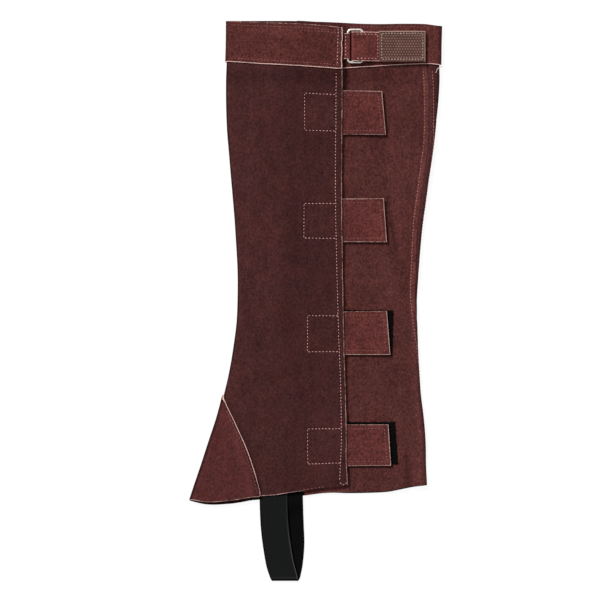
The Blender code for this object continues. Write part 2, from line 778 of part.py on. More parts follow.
def build_strap(suede, leather):
    path = strap_path()
    ribbon("top_strap", path, STRAP_BOTTOM, STRAP_TOP, SUEDE, suede)
    corners = [(STRAP_PATCH_START, STRAP_PATCH_TOP), (STRAP_PATCH_END, STRAP_PATCH_TOP),
               (STRAP_PATCH_END, STRAP_PATCH_BOTTOM), (STRAP_PATCH_START, STRAP_PATCH_BOTTOM)]

    def strap_top(x, _):
        return strap_low(x) + LAYER + SUEDE / 2 + GAP

    pad("strap_patch", corners, STRAP_PATCH_CELLS, strap_top, PATCH_LEATHER, leather)


def build_strap_ring(material):
    """A rounded rectangle of wire."""
    insets = [(RING_RIGHT - RING_CORNER, RING_TOP - RING_CORNER, 0.0),
              (RING_LEFT + RING_CORNER, RING_TOP - RING_CORNER, 90.0),
              (RING_LEFT + RING_CORNER, RING_BOTTOM + RING_CORNER, 180.0),
              (RING_RIGHT - RING_CORNER, RING_BOTTOM + RING_CORNER, 270.0)]
    stations = []
    for x, y, start in insets:
        for i in range(WIRE_CORNER_STEPS + 1):
            turn = math.radians(start + 90.0 * i / WIRE_CORNER_STEPS)
            stations.append((x, y, math.cos(turn), math.sin(turn)))
    vertices, faces = [], []
    for x, y, out_x, out_y in stations:
        for s in range(WIRE_SIDES):
            angle = 2 * math.pi * (s + 0.5) / WIRE_SIDES
            far = RING_CORNER + RING_WIRE * math.cos(angle)
            vertices.append((x + out_x * far, y + out_y * far,
                             RING_HEIGHT + RING_WIRE * math.sin(angle)))
    count = len(stations)
    for i in range(count):
        for s in range(WIRE_SIDES):
            a, b = i * WIRE_SIDES, (i + 1) % count * WIRE_SIDES
            t = (s + 1) % WIRE_SIDES
            faces.append((a + s, b + s, b + t, a + t))
    obj = add_object("strap_ring", vertices, faces, material)
    obj.data.shade_smooth()
    return obj


def build_foot_elastic(material):
    """The elastic as a flat strip: down the front run, round a soft fold, up the back run."""
    top, bottom = ELASTIC_FRONT[-1], ELASTIC_BACK[0]
    middle, radius = (top.z + bottom.z) / 2, (top.z - bottom.z) / 2
    turn = []
    for i in range(1, ELASTIC_TURN_STEPS):
        angle = math.pi * i / ELASTIC_TURN_STEPS
        far = (top.y - ELASTIC_TURN_Y) * math.sin(angle)
        x = mix(top.x, bottom.x, i / ELASTIC_TURN_STEPS)
        turn.append(Route(x, top.y - far, middle + radius * math.cos(angle), 0.0))
    stations = ELASTIC_FRONT + turn + ELASTIC_BACK

    def place(out):
        def point(k):
            row, column = k
            here = stations[row]
            before, after = stations[max(row - 1, 0)], stations[min(row + 1, len(stations) - 1)]
            dy, dz = after.y - before.y, after.z - before.z
            length = math.hypot(dy, dz)
            side = (column / ELASTIC_COLUMNS - 0.5) * ELASTIC_WIDTH
            tilt = math.radians(here.tilt)
            return (here.x + side * math.cos(tilt),
                    here.y + side * math.sin(tilt) + out * dz / length,
                    here.z - out * dy / length)
        return point

    cells = grid_cells(len(stations) - 1, ELASTIC_COLUMNS)
    half = ELASTIC / 2
    return thick_sheet("foot_elastic", cells, place(half), place(-half), material)


def new_material(name, colour, roughness, metallic=0.0):
    material = bpy.data.materials.new(name)
    material.use_nodes = True
    shader = material.node_tree.nodes["Principled BSDF"]
    shader.inputs["Base Color"].default_value = (*colour, 1.0)
    shader.inputs["Roughness"].default_value = roughness
    shader.inputs["Metallic"].default_value = metallic
    return material


def main():
    for obj in list(bpy.data.objects):
        bpy.data.objects.remove(obj, do_unlink=True)
    suede = new_material("burgundy_suede", (0.075, 0.022, 0.021), 0.95)
    leather = new_material("brown_leather", (0.13, 0.06, 0.047), 0.6)
    pile = new_material("black_pile", (0.01, 0.01, 0.01), 0.95)
    elastic = new_material("black_elastic", (0.012, 0.012, 0.013), 0.7)
    nickel = new_material("nickel_wire", (0.72, 0.68, 0.6), 0.25, 1.0)

    build_main_panel(suede)
    build_under_panel(suede)
    build_foot_gusset(suede)
    build_top_band(suede)
    build_closures(suede, pile)
    build_ring_keeper(suede)
    build_strap_ring(nickel)
    build_strap(suede, leather)
    build_foot_elastic(elastic)


main()
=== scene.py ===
"""The looks of a suede half chap that lies flat on a pale floor, seen from straight above.

Sizes are in millimetres and turned into metres when a mesh is made. The tables repeat the
model's own sizes, so every shell lies where its solid lies.
"""

import math
from collections import namedtuple

import bpy
import numpy as np
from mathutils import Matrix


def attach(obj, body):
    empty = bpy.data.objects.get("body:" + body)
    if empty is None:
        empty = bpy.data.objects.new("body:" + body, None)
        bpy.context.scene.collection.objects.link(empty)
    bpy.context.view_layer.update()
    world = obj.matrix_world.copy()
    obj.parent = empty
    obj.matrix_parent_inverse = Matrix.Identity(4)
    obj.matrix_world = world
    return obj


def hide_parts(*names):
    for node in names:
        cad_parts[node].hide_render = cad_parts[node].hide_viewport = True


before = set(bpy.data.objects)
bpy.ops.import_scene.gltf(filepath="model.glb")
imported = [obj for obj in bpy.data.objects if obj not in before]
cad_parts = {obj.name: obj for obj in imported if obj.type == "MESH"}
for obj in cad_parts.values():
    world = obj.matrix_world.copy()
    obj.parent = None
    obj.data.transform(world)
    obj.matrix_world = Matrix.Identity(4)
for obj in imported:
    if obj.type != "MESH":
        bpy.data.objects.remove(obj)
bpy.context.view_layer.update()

MM = 0.001
rng = np.random.default_rng(7)


def table(columns, *rows):
    """Rows whose columns have names."""
    row = namedtuple("Row", columns)
    return [row(*values) for values in rows]


# ---------------------------------------------------------------- sizes shared with the model

SUEDE = 1.2
PATCH_LEATHER = 1.2
KEEPER_SUEDE = 1.0
PILE = 1.0
ELASTIC = 1.2
GAP = 0.3
LAYER = SUEDE + GAP

FLAP_LIFT = 3.3
FLAP_HEM_LIFT = 4.7
UNDER_LIFT = 1.7
CALF_FOLD_LIFT = 2.6
FLAP_OVER_PANEL = 5.2
FLAP_OVER_TABS = 6.1
FLAP_OVER_KEEPER = 9.3

FOLD_REACH = 2.2
SEAM_RIDGE = 0.5
SEAM_RIDGE_FADE = (3.5, 5.5)   # the ridge falls away between these distances from the seam
SEAM_RIDGE_START = (3.2, 3.6)  # and grows between these places in the calf fold's turn
SEAM_GAP = 0.3
GUSSET_LAP = 9.0
PANEL_TOP_MARGIN = 2.0
TOP_HEIGHT = 250.0
HEM_HEIGHT = -172.0
BAND_LAYER = (196.0, 209.0)    # the panel rises over the band between these heights
KEEPER_RISE = (188.0, 209.0)
FLAP_RAMP = (-50.0, -16.0)
HEM_LIFT_RISE = (-130.0, -165.0)
GUSSET_FADE = (1.0, 9.0)       # the back sinks again between these distances past the gusset
FLAP_OVER_GUSSET = 0.8
TAB_FADE = (3.0, 24.0)         # the flap sinks again between these distances past a tab
CALF_LIFT = (-45.0, -9.0)      # the under panel lifts between these places before its right
BAND_HOLDS_CALF = 0.8          # the share of that lift that the band holds down

PANEL_OUTLINE = table(
    "y left right",
    (-186, -114.8, 100.4), (-178.4, -112.7, 100.2), (-164.3, -108.1, 100), (-148.1, -102.6, 99.2),
    (-126.5, -95.6, 98.8), (-104.9, -88.5, 97), (-83.3, -82.8, 94.3), (-61.7, -77.9, 92.6),
    (-40, -74.3, 91.6), (-18.5, -71.6, 90.9), (3.2, -70.7, 90.6), (24.8, -70.8, 92.2),
    (46.4, -71.9, 93.6), (68, -73, 95.6), (89.6, -74.7, 99), (111.2, -76.6, 102),
    (132.8, -78.4, 105.3), (154.4, -80.2, 107.9), (176, -81, 110), (197.6, -81.1, 111.4),
    (209, -80.7, 111.8), (230, -79.9, 112), (253, -79.7, 112.7),
)
EDGE_LINES = table(
    "y flap under",
    (-172, 28.5, -10.5), (-163.8, 28.3, -10.5), (-148, 27.2, -12.6), (-129.2, 27.1, -15),
    (-100, 26.8, -16.4), (-30.2, 24.8, -17), (91.4, 23, -17), (190.4, 23.4, -17),
    (210.2, 23.4, -17), (222, 23.5, -17), (245.8, 24.2, -17),
)
GUSSET_REACH = table(
    "y reach",
    (-185, 64.5), (-175, 61.7), (-169.9, 59.6), (-150.1, 47.3), (-130.3, 33.7), (-111.8, 19.2),
    (-90, 2.9), (-81, 0), (-60, -12),
)
GUSSET_TOP = -84.0
GUSSET_ROW = 2.7            # its stitched row's distance in from its cut edge
NOTCH_TOP = -96.5
CALF_SEAM = table(
    "y shift",
    (-172, -6), (-120, -5.5), (-74, -4.5), (-35, -1.5), (11, 2.3), (56, 3.9), (86, 5.2),
    (116, 5.5), (136, 5.8), (146, 6.2), (176, 8.8), (210, 11.2), (252, 11.2),
)
HEM_LINES = table(
    "x front back under",
    (-113, -177.7, -179.2, -179.2), (-95, -180.5, -183, -183), (-75.6, -179, -182.3, -182.3),
    (-64.8, -177.3, -180.6, -180.6), (-52, -175.2, -178, -178), (-36, -174.1, -176.6, -176.6),
    (-23.4, -172, -175.7, -175.7), (-10.8, -170.3, -174.9, -174.9), (5.4, -168.2, -172.9, -172.6),
    (15, -167.5, -172.4, -171.8), (22.5, -166.8, -172.6, -171.9), (28.6, -164.9, -172.8, -171.9),
    (48.6, -164.9, -172.5, -171.6), (64.8, -164.9, -171.6, -170.8), (75.6, -164.9, -169.6, -168.8),
    (86.4, -164.9, -167.4, -166.7), (100, -164.9, -165.7, -165.2),
)
TOP_LINES = table(
    "x front back under",
    (-81, 252.4, 252.9, 252.9), (-60, 251.6, 252.9, 252.9), (-22, 250, 252.9, 252.9),
    (-10, 249.3, 252.5, 252.5), (10, 247.7, 251.9, 251), (25, 246.2, 251.2, 249.7),
    (38, 246, 250.5, 249.7), (57, 246, 250.1, 249.4), (76, 246, 250.4, 249.7),
    (97, 246, 250.2, 249.6), (103, 246, 249.5, 249), (113, 246, 247.9, 247.7),
)
BAND_BOTTOM = table(
    "x front back under",
    (-81, 216, 215, 215), (-41, 213.4, 214, 214), (-7, 211.3, 213, 213), (18, 209.4, 212.5, 209.9),
    (25, 209.3, 212.5, 209.9), (58, 209.3, 213, 212), (101, 209.3, 213.8, 213.9),
    (112, 209.3, 213, 212.6),
)
BAND_MIDDLE = 230.0

# Soft troughs: a line with its depth and half width. A minus depth is a ridge.
CREASE = "start end depth half_width"
UNDER_CREASES = table(
    CREASE,
    ((62, 104), (72, 45.5), 1, 8), ((72, 45.5), (85, 6), 1.3, 8),
    ((83.7, -136), (84.2, -172), 1.9, 6),
)

TABS = table(
    "start end_top end_bottom top_left top_right bottom_right bottom_left",
    (-13.5, 59.4, 62.8, 190.7, 189.3, 150.1, 150.8), (-14, 60.9, 63.7, 92.2, 92.8, 53.5, 53.7),
    (-10.8, 63.7, 66.8, -9.6, -8.6, -47.9, -47.9),
    (-10.8, 65.1, 67.5, -110.8, -110.8, -147.6, -148.5),
)
TAB_END_LIFT = 0.9
TAB_LIFT_LENGTH = 22.0
LOOP_PATCHES = table(
    "start end_top end_bottom top bottom",
    (-6, 57, 60, 188, 152.5), (-6, 58.5, 61, 90.8, 55.2), (-6, 69.3, 68.4, -7.9, -47.7),
    (-6, 70.9, 73.7, -108.5, -146.3),
)

RING_WIRE = 0.9
RING_LEFT = 28.6
RING_RIGHT = 42.0
RING_BOTTOM = 215.0
RING_TOP = 244.4
RING_CORNER = 3.0
RING_HEIGHT = 8.9
OVER_RING = RING_HEIGHT + RING_WIRE + GAP
KEEPER_START = 13.0
KEEPER_BOTTOM = 218.2
KEEPER_TOP = 241.2
STRAP_FOLD = 32.4
STRAP_END = 97.6
STRAP_BOTTOM = 216.2
STRAP_TOP = 242.4
STRAP_MIDDLE = (STRAP_TOP + STRAP_BOTTOM) / 2
STRAP_OVER_RING = (44.0, 54.0)
STRAP_PATCH_START = 57.0
STRAP_PATCH_END = 98.1
STRAP_PATCH_BOTTOM = 215.7
STRAP_PATCH_TOP = 243.1

ELASTIC_WIDTH = 25.0
ELASTIC_TURN_Y = -251.4
ELASTIC_FRONT = table(
    "x y z tilt",
    (-38.6, -158, 3.6, 0), (-38.4, -175, 3.6, 0), (-38.1, -188, 3.4, 3), (-37.3, -203, 3.1, 6),
    (-35.5, -218.3, 2.9, 8), (-32.4, -236.3, 2.8, 9), (-29, -248, 2.8, 2),
)
ELASTIC_BACK = table(
    "x y z tilt",
    (-26.6, -248, 0.6, -1), (-24.4, -236, 0.6, -6), (-22.9, -218.3, 0.6, -3),
    (-23.4, -203, 0.6, 0), (-23.8, -193, 0.6, 1), (-24.1, -182.5, 2.1, 1), (-24.3, -172, 2.1, 0),
    (-24.3, -158, 2.1, 0),
)

# ---------------------------------------------------------------- looks only

# Colours as linear light.
FLAP_COLOUR = (0.058, 0.0195, 0.0195)
UNDER_COLOUR = (0.082, 0.0258, 0.0242)
GUSSET_COLOUR = (0.082, 0.0234, 0.0232)
BAND_COLOUR = (0.094, 0.0275, 0.0255)
TAB_COLOUR = (0.108, 0.030, 0.0285)
RAW_EDGE_COLOUR = (0.66, 0.42, 0.37)
SHEEN_COLOUR = (1.0, 0.4, 0.38, 1.0)
PATCH_COLOUR = (0.135, 0.064, 0.052)
PATCH_EDGE_COLOUR = (0.66, 0.44, 0.37)
ELASTIC_COLOUR = (0.0080, 0.0085, 0.0084)
PILE_COLOUR = (0.0035, 0.0034, 0.0034)
HOOK_COLOUR = (0.005, 0.005, 0.005)
NICKEL_COLOUR = (1.0, 0.94, 0.87)
SCUFFED_COLOUR = (0.90, 0.83, 0.75)
PALE_THREAD = (0.70, 0.37, 0.34)
RED_THREAD = (0.25, 0.075, 0.065)
SEAM_THREAD = (0.42, 0.15, 0.13)
CREAM_THREAD = (0.74, 0.55, 0.44)
# Painted on the inner faces: darker for the flesh side, and painted shade inside the shell.
FLESH_SIDE_AND_SHADE = (0.55, 0.25, 0.0)  # the inner face's paint beside the outer face's
EVEN = (1.0, 1.0, 1.0)

RAW_EDGE_WIDTH = 0.8        # how far in from a cut edge the suede's pale core shows
RAW_EDGE_DROP = 0.18
TURNED_EDGE_WIDTH = 0.7     # a turned or sewn edge rounds off over this much
TURNED_EDGE_DROP = 0.25
CUT_WANDER = 0.22           # how far a hand-cut edge strays from its line
TAB_SHAPE = 0.42            # how far a tab's shape stands out through the flap
FLAP_EDGE_OUT = 0.2         # the cut edge's fibres stand out past the edge line
PILE_DEPTH = 0.18
PILE_FRAY = 0.22
GRAIN_DEPTH = 0.2
GRAIN_PITCH = 2.4           # of the stamped grains on the strap's patch
CORD_DEPTH = 0.13           # of the grooves between the elastic's cords
CORD_PITCH = 1.56
CORD_SINK = 0.16            # how far the grooves' floor lies in from the elastic's face
SELVEDGE = (10.9, 11.6)     # the flat selvedge rises between these distances from its middle
SELVEDGE_RISE = 0.10
FOLD_CORNER = 2.6           # the elastic's fold narrows over this much

STITCH_LENGTH = 2.1
STITCH_PITCH = 2.9
STITCH_SINK = 0.05
ROW_DEPTH = 0.16            # how far a row of stitches pulls the suede down
THREAD_RADIUS = 0.33
# Distances of the stitched rows in from the edges that they follow.
BOX_INSET = 3.2             # from a tab's start and from its top
BOX_FOOT = 3.4
BOX_END = 31.3              # from a tab's start to its box's open end
TAB_ROW = 3.6
BAND_TOP_ROW = 3.4
BAND_SECOND_ROW = 5.6
BAND_BOTTOM_ROW = 3.3
BAND_UNDER_ROW = 2.6
SEAM_ROW = 4.1
PATCH_ROW = 2.1
STRAP_ROW = 2.3
BAND_END_ROW = 4.2
# Where the rows start and end: heights, or places across the leg for the hem's and strap's.
FLAP_ROW_ENDS = (206.0, -161.0)
SEAM_ROW_ENDS = (208.0, -163.0)
GUSSET_ROW_ENDS = (-98.0, -172.0)
BAND_END_ROW_ENDS = (246.0, 213.0)
HEM_ROW_ENDS = (-12.0, 8.0)
STRAP_ROW_ENDS = (36.0, 55.5)
KEEPER_ROW_X = 26.6
FLAP_CORNER_ROW = [(21.2, -162.0), (23.4, -165.4), (26.1, -164.0), (28.2, -163.1)]

FLAP_ROW = table(
    "y x",
    (-163, 21.2), (-129, 22.7), (-104, 22.8), (-71, 22), (-30.2, 20.4), (91.4, 17.6), (185.9, 18),
    (206, 18.2),
)
BOX_SHIFTS = table(
    "top top_rise bottom bottom_rise",
    (0, -1.5, 0, -0.9), (-0.9, 0, 0, -0.4), (0, 0, -0.85, 0.3), (-0.5, 0, -1.1, 1),
)

# Lighter and darker spots: middle, half sizes and how much lighter. Most are tone; those noted
# below are painted shade and painted light.
SPOT_COLUMNS = "x y half_x half_y lighter"
FLAP_SPOTS = table(
    SPOT_COLUMNS,
    (4.5, 168.8, 21, 22, 0.13), (-14.4, 194, 16, 13, 0.06), (-23.4, 68.9, 12, 52, -0.06),
    (-28.8, -12, 11, 40, -0.045), (1.8, -129, 26, 46, 0.06), (1.8, 77.9, 16, 20, 0.035),
    (-62, 60, 12, 60, 0.02), (-58, 128, 10, 40, 0.03),
)
# On the under panel, the dark spot at x 83.7 is painted shade in a fold, the one at x 96 painted
# shade beside the seam, and the bright one at x 16 by the flap's hem is painted light against that
# hem's cast shadow.
UNDER_SPOTS_AND_SHADE = table(
    SPOT_COLUMNS,
    (73, 181, 9, 24, 0.05), (63, 136, 8, 32, 0.04), (83.7, -154, 6, 24, -0.12),
    (96, 168, 5, 48, -0.10), (62, 30, 9, 14, 0.05), (40, -158, 26, 7, -0.03),
    (16, -168, 19, 3.6, 0.28),
)
# On the band, the spot at x -60, along the front's lower rim, is a painted highlight.
BAND_SPOTS_AND_HIGHLIGHT = table(
    SPOT_COLUMNS,
    (-41, 244, 26, 7, 0.08), (9, 229, 18, 12, -0.05), (-60, 219, 26, 5, 0.05),
    (104, 217, 7, 7, 0.08),
)
# Painted shade along lines where the under panel is creased, with how much darker.
UNDER_CREASE_SHADE = table(
    CREASE,
    ((64.5, 92), (72, 45.5), 0.15, 3.6), ((72, 45.5), (85.5, 8), 0.08, 5),
)

# Puckers and soft hollows.
FLAP_CREASES = table(
    CREASE,
    ((-62, 150), (-40, 96), 0.35, 12), ((-66, 40), (-50, -30), 0.40, 13),
    ((-20, 128), (-16, 104), 0.30, 9), ((-18, 30), (-12, 6), 0.30, 8),
    ((-20, -62), (-30, -104), 0.35, 10), ((-70, -78), (-52, -120), 0.30, 9),
    ((6, -70), (10, -96), 0.25, 8), ((4, 138), (8, 112), 0.25, 8),
)
UNDER_FINE_CREASES = table(
    CREASE,
    ((65.5, 92), (73, 45.5), 0.45, 4), ((44, 132), (80, 150), 0.30, 7),
    ((48, 22), (74, 8), 0.30, 7), ((70, -20), (84, -70), 0.45, 8), ((52, -84), (76, -96), 0.30, 6),
    ((92, 190), (88, 130), 0.50, 7), ((66, -156), (58, -171), 0.35, 6),
    ((92.5, -140), (93, -166), -0.35, 5),
)
GUSSET_CREASES = table(
    CREASE,
    ((-86, -130), (-92, -172), 0.40, 9), ((-72, -140), (-66, -176), 0.30, 7),
)
BAND_CREASES = table(
    CREASE,
    ((-48, 246), (-56, 216), 0.25, 9), ((-10, 244), (-4, 214), 0.22, 8),
    ((103.5, 246), (102.5, 214), -0.35, 3.2),
)
BACK_CREASES = table(
    CREASE,
    ((-40, 170), (-10, 60), 0.40, 14), ((50, 150), (30, 84), 0.35, 12),
    ((-30, 10), (20, -22), 0.35, 10), ((40, -40), (54, -120), 0.40, 12),
    ((-20, -90), (-4, -160), 0.35, 11),
)
TAB_HOLLOWS = table(
    CREASE,
    ((34, 172), (52, 165), 0.22, 7), ((36, 78), (55, 64), 0.25, 8),
    ((40, -24), (58, -36), 0.24, 8), ((38, -136), (60, -124), 0.22, 8),
)


# ---------------------------------------------------------------- numbers

def smooth(start, end, value):
    """0 before start and 1 after end, with an even rise between them."""
    t = np.clip((np.asarray(value, float) - start) / (end - start), 0.0, 1.0)
    return t * t * (3.0 - 2.0 * t)


def fade(start, end, value):
    """1 before start and 0 after end."""
    return 1.0 - smooth(start, end, value)


def mix(a, b, t):
    return a + (b - a) * t


def read(rows, at, column):
    """A column's values at places in the table's first column, on a smooth curve."""
    keys = np.array([row[0] for row in rows])
    values = np.array([getattr(row, column) for row in rows])
    before = np.maximum(np.arange(len(keys)) - 1, 0)
    after = np.minimum(np.arange(len(keys)) + 1, len(keys) - 1)
    slopes = (values[after] - values[before]) / (keys[after] - keys[before])
    at = np.clip(np.asarray(at, float), keys[0], keys[-1])
    i = np.clip(np.searchsorted(keys, at, side="left") - 1, 0, len(keys) - 2)
    width = keys[i + 1] - keys[i]
    t = (at - keys[i]) / width
    rise = values[i + 1] - values[i]
    bend_a = slopes[i] * width - rise
    bend_b = rise - slopes[i + 1] * width
    curve = t * (1 - t) * (bend_a * (1 - t) + bend_b * t)
    return mix(values[i], values[i + 1], t) + curve


def press(creases, x, y):
    """How far soft troughs press a sheet down."""
    depth = np.zeros(np.broadcast(x, y).shape)
    for crease in creases:
        (ax, ay), (bx, by) = crease.start, crease.end
        length = math.hypot(bx - ax, by - ay)
        along = ((x - ax) * (bx - ax) + (y - ay) * (by - ay)) / length
        across = ((x - ax) * (by - ay) - (y - ay) * (bx - ax)) / length
        overrun = np.maximum(np.maximum(-along, along - length), 0.0)
        far = np.hypot(across / crease.half_width, overrun / (2 * crease.half_width))
        part = crease.depth * fade(0.0, 1.0, far)
        depth = np.where(np.abs(part) > np.abs(depth), part, depth)
    return depth


def spot_tone_and_shade(spots, x, y):
    """How much lighter the listed spots make each place: some are tone, some painted shade and
    painted light.
    """
    change = np.zeros(np.broadcast(x, y).shape)
    for spot in spots:
        far = np.hypot((x - spot.x) / spot.half_x, (y - spot.y) / spot.half_y)
        change += spot.lighter * fade(0.35, 1.0, far)
    return change


def wander(along, seed, width=CUT_WANDER):
    """A slow uneven drift from side to side along a cut."""
    waves = np.random.default_rng(seed)
    drift = 0.0 * along
    for length in (41.0, 23.0, 13.0, 7.0, 4.5):
        drift = drift + np.sin(2 * math.pi * along / length + waves.uniform(0, 6.28)) * (
            waves.uniform(0.5, 1.0) * (length / 41.0) ** 0.35)
    return width * drift / 2.0


def run_along(points):
    """Distance along a line, at each of its points."""
    steps = np.linalg.norm(np.diff(points, axis=0), axis=1)
    return np.concatenate([[0.0], np.cumsum(steps)])


def between(at, places, points):
    """Points at places along a line whose points have places of their own."""
    return np.stack([np.interp(at, places, column) for column in np.transpose(points)], -1)


def box_corners(left, right, bottom, top):
    """Corners from the top left, clockwise."""
    return [(left, top), (right, top), (right, bottom), (left, bottom)]


# ---------------------------------------------------------------- the suede's layers

def left_edge(y):
    return read(PANEL_OUTLINE, y, "left")


def right_edge(y):
    return read(PANEL_OUTLINE, y, "right")


def flap_edge(y):
    return read(EDGE_LINES, y, "flap")


def reach(y):
    """How far the gusset reaches in from the shin fold."""
    return read(GUSSET_REACH, y, "reach")


def seam_shift(y):
    """How far the calf seam lies past the calf fold's middle, towards the front."""
    return read(CALF_SEAM, y, "shift")


def flap_row(y):
    return read(FLAP_ROW, y, "x")


def past_gusset(x, y):
    """How far a place on the flap or the back lies past the gusset's cut edge."""
    return x - left_edge(y) - reach(y)


def gusset_rise(x, y):
    return fade(*GUSSET_FADE, past_gusset(x, y))


def over_tabs(y):
    """1 where the flap lies over a tab, and 0 between them."""
    cover = 0.0
    for tab in TABS:
        middle = (tab.top_left + tab.bottom_left) / 2
        half = (tab.top_left - tab.bottom_left) / 2
        cover = np.maximum(cover, fade(*TAB_FADE, np.abs(y - middle) - half))
    return cover


def back_floor(x, y):
    return LAYER * np.maximum(smooth(*BAND_LAYER, y), gusset_rise(x, y))


def flap_floor(x, y):
    hem = smooth(*HEM_LIFT_RISE, y)
    low = mix(FLAP_LIFT, FLAP_HEM_LIFT, hem) + LAYER * smooth(*BAND_LAYER, y)
    low = low + FLAP_OVER_GUSSET * gusset_rise(x, y) * (1.0 - hem)
    high = mix(FLAP_OVER_PANEL, FLAP_OVER_TABS, over_tabs(y))
    high = mix(high, FLAP_OVER_KEEPER, smooth(*KEEPER_RISE, y))
    return mix(low, high, smooth(*FLAP_RAMP, x))


def under_floor(x, y):
    band = smooth(*BAND_LAYER, y)
    right = right_edge(y)
    lift = CALF_FOLD_LIFT * smooth(*CALF_LIFT, x - right) * (1.0 - BAND_HOLDS_CALF * band)
    lift = np.maximum(0.0, lift - press(UNDER_CREASES, x, y))
    return UNDER_LIFT + LAYER * band + lift


def fold_ends(y):
    inset = SUEDE / 2 + FOLD_REACH
    return left_edge(y) + inset, right_edge(y) - inset


def wrap_middle(u, y):
    """The suede's middle line round the leg: 0 to 1 flap, 1 to 2 shin fold, 2 to 3 back,
    3 to 4 calf fold, 4 to 5 under panel."""
    u, y = np.broadcast_arrays(np.asarray(u, float), np.asarray(y, float))
    shin, calf = fold_ends(y)
    half = SUEDE / 2

    def fold(x, floor, turn, side):
        top, bottom = floor(x, y) + half, back_floor(x, y) + half
        z = (top + bottom) / 2 + side * (top - bottom) / 2 * np.cos(math.pi * turn)
        return x - side * FOLD_REACH * np.sin(math.pi * turn), z

    x0 = mix(flap_edge(y), shin, u)
    x1, z1 = fold(shin, flap_floor, u - 1.0, 1)
    x2 = mix(shin, calf, u - 2.0)
    x3, z3 = fold(calf, under_floor, u - 3.0, -1)
    x4 = mix(calf, read(EDGE_LINES, y, "under"), u - 4.0)
    z0, z2, z4 = flap_floor(x0, y) + half, back_floor(x2, y) + half, under_floor(x4, y) + half
    where = [u <= 1.0, u < 2.0, u <= 3.0, u < 4.0]
    return np.select(where, [x0, x1, x2, x3], x4), np.select(where, [z0, z1, z2, z3], z4)


def wrap_point(u, y, out):
    """Points out from the suede's middle line, along its outward normal."""
    small = 0.004
    ax, az = wrap_middle(np.maximum(0.0, u - small), y)
    bx, bz = wrap_middle(np.minimum(5.0, u + small), y)
    length = np.hypot(bx - ax, bz - az)
    x, z = wrap_middle(u, y)
    return np.stack([x + out * (bz - az) / length, y + 0.0 * x, z - out * (bx - ax) / length], -1)


def quarter_fold(y, side):
    """Half a fold's length along the suede. Side 0 is the shin fold and 1 the calf fold."""
    x = fold_ends(y)[side]
    rise = ((flap_floor, under_floor)[side](x, y) - back_floor(x, y)) / 2
    return math.pi / 2 * np.sqrt((FOLD_REACH ** 2 + rise ** 2) / 2)


def u_from_fold(distance, y, side, width_before, width_after):
    """u at a distance from the middle of a fold, between flat stretches of these widths."""
    start = 1.0 + 2.0 * side
    quarter = quarter_fold(y, side)
    run = np.abs(distance) - quarter
    flat = np.where(distance < 0, start - run / width_before, start + 1.0 + run / width_after)
    return np.where(run <= 0, start + 0.5 + 0.5 * distance / quarter, flat)


def u_from_shin(distance, y):
    """u at a distance along the suede from the shin fold, minus on the front."""
    shin, calf = fold_ends(y)
    return u_from_fold(distance, y, 0, flap_edge(y) - shin, calf - shin)


def u_from_calf(distance, y):
    """u at a distance along the suede from the calf fold, minus on the back."""
    shin, calf = fold_ends(y)
    return u_from_fold(distance, y, 1, calf - shin, calf - read(EDGE_LINES, y, "under"))


def line_at(rows, u, x):
    """Height of an edge line, which has its own column on the front, back and under panel."""
    front, back, under = (read(rows, x, side) for side in ("front", "back", "under"))
    early = mix(front, back, smooth(1.0, 2.0, u))
    return np.where(u < 2.5, early, mix(back, under, smooth(3.0, 4.0, u)))


def seam_at(u, y):
    """u of the calf seam, and how far places on the suede are from it."""
    seam_u = u_from_calf(seam_shift(y), y)
    (x, z), (seam_x, seam_z) = wrap_middle(u, y), wrap_middle(seam_u, y)
    return seam_u, np.hypot(x - seam_x, z - seam_z)


def ridge_at(u, y):
    """How much the suede stands up over the calf seam's allowances, clear of the surface."""
    height = SEAM_RIDGE * fade(*BAND_LAYER, y) * smooth(*SEAM_RIDGE_START, u)
    return height * fade(*SEAM_RIDGE_FADE, seam_at(u, y)[1])


# ---------------------------------------------------------------- meshes

# Rows or columns close to an edge, and a distance that stands for no edge near.
RIM = np.array([0.0, 0.45, 0.9])
RIM_WIDTH = 0.9
FAR = 99.0


def mesh_object(name, points, faces, *materials):
    """A smooth mesh with its points given in millimetres."""
    mesh = bpy.data.meshes.new(name)
    mesh.from_pydata((np.asarray(points) * MM).tolist(), [], faces)
    for material in materials:
        mesh.materials.append(material)
    mesh.shade_smooth()
    return add_object(name, mesh)


def add_object(name, data):
    obj = bpy.data.objects.new(name, data)
    bpy.context.scene.collection.objects.link(obj)
    return obj


def tube_faces(rings, sides, closed=False):
    """Faces of a tube made of rings of points. An open tube has a cap at each end."""
    faces = []
    for i in range(rings if closed else rings - 1):
        a, b = i * sides, (i + 1) % rings * sides
        for s in range(sides):
            t = (s + 1) % sides
            faces.append((a + s, a + t, b + t, b + s))
    if not closed:
        faces += [tuple(range(sides))[::-1], tuple(range((rings - 1) * sides, rings * sides))]
    return faces


def painted(shade, core=0.0, wear=0.0):
    """Paint of each point: its shade, how much raw edge shows, and its wear."""
    return np.stack(np.broadcast_arrays(shade, core, wear), -1)


def drop(distance, width=RAW_EDGE_WIDTH, depth=RAW_EDGE_DROP):
    """How far a sheet's face rounds down near its edge."""
    t = np.clip(1.0 - distance / width, 0.0, 1.0)
    return depth * t * t


def raw(distance):
    """How much of a cut edge's pale core shows at a distance in from it."""
    return np.clip(1.0 - distance / RAW_EDGE_WIDTH, 0.0, 1.0)


def spread(length, step, width=RAW_EDGE_WIDTH):
    """Places from 0 to length, close together at both edges and about step apart between."""
    middle = np.linspace(width, length - width, max(2, round(length / step)))
    return np.concatenate([[0.0, width / 2], middle, [length - width / 2, length]])


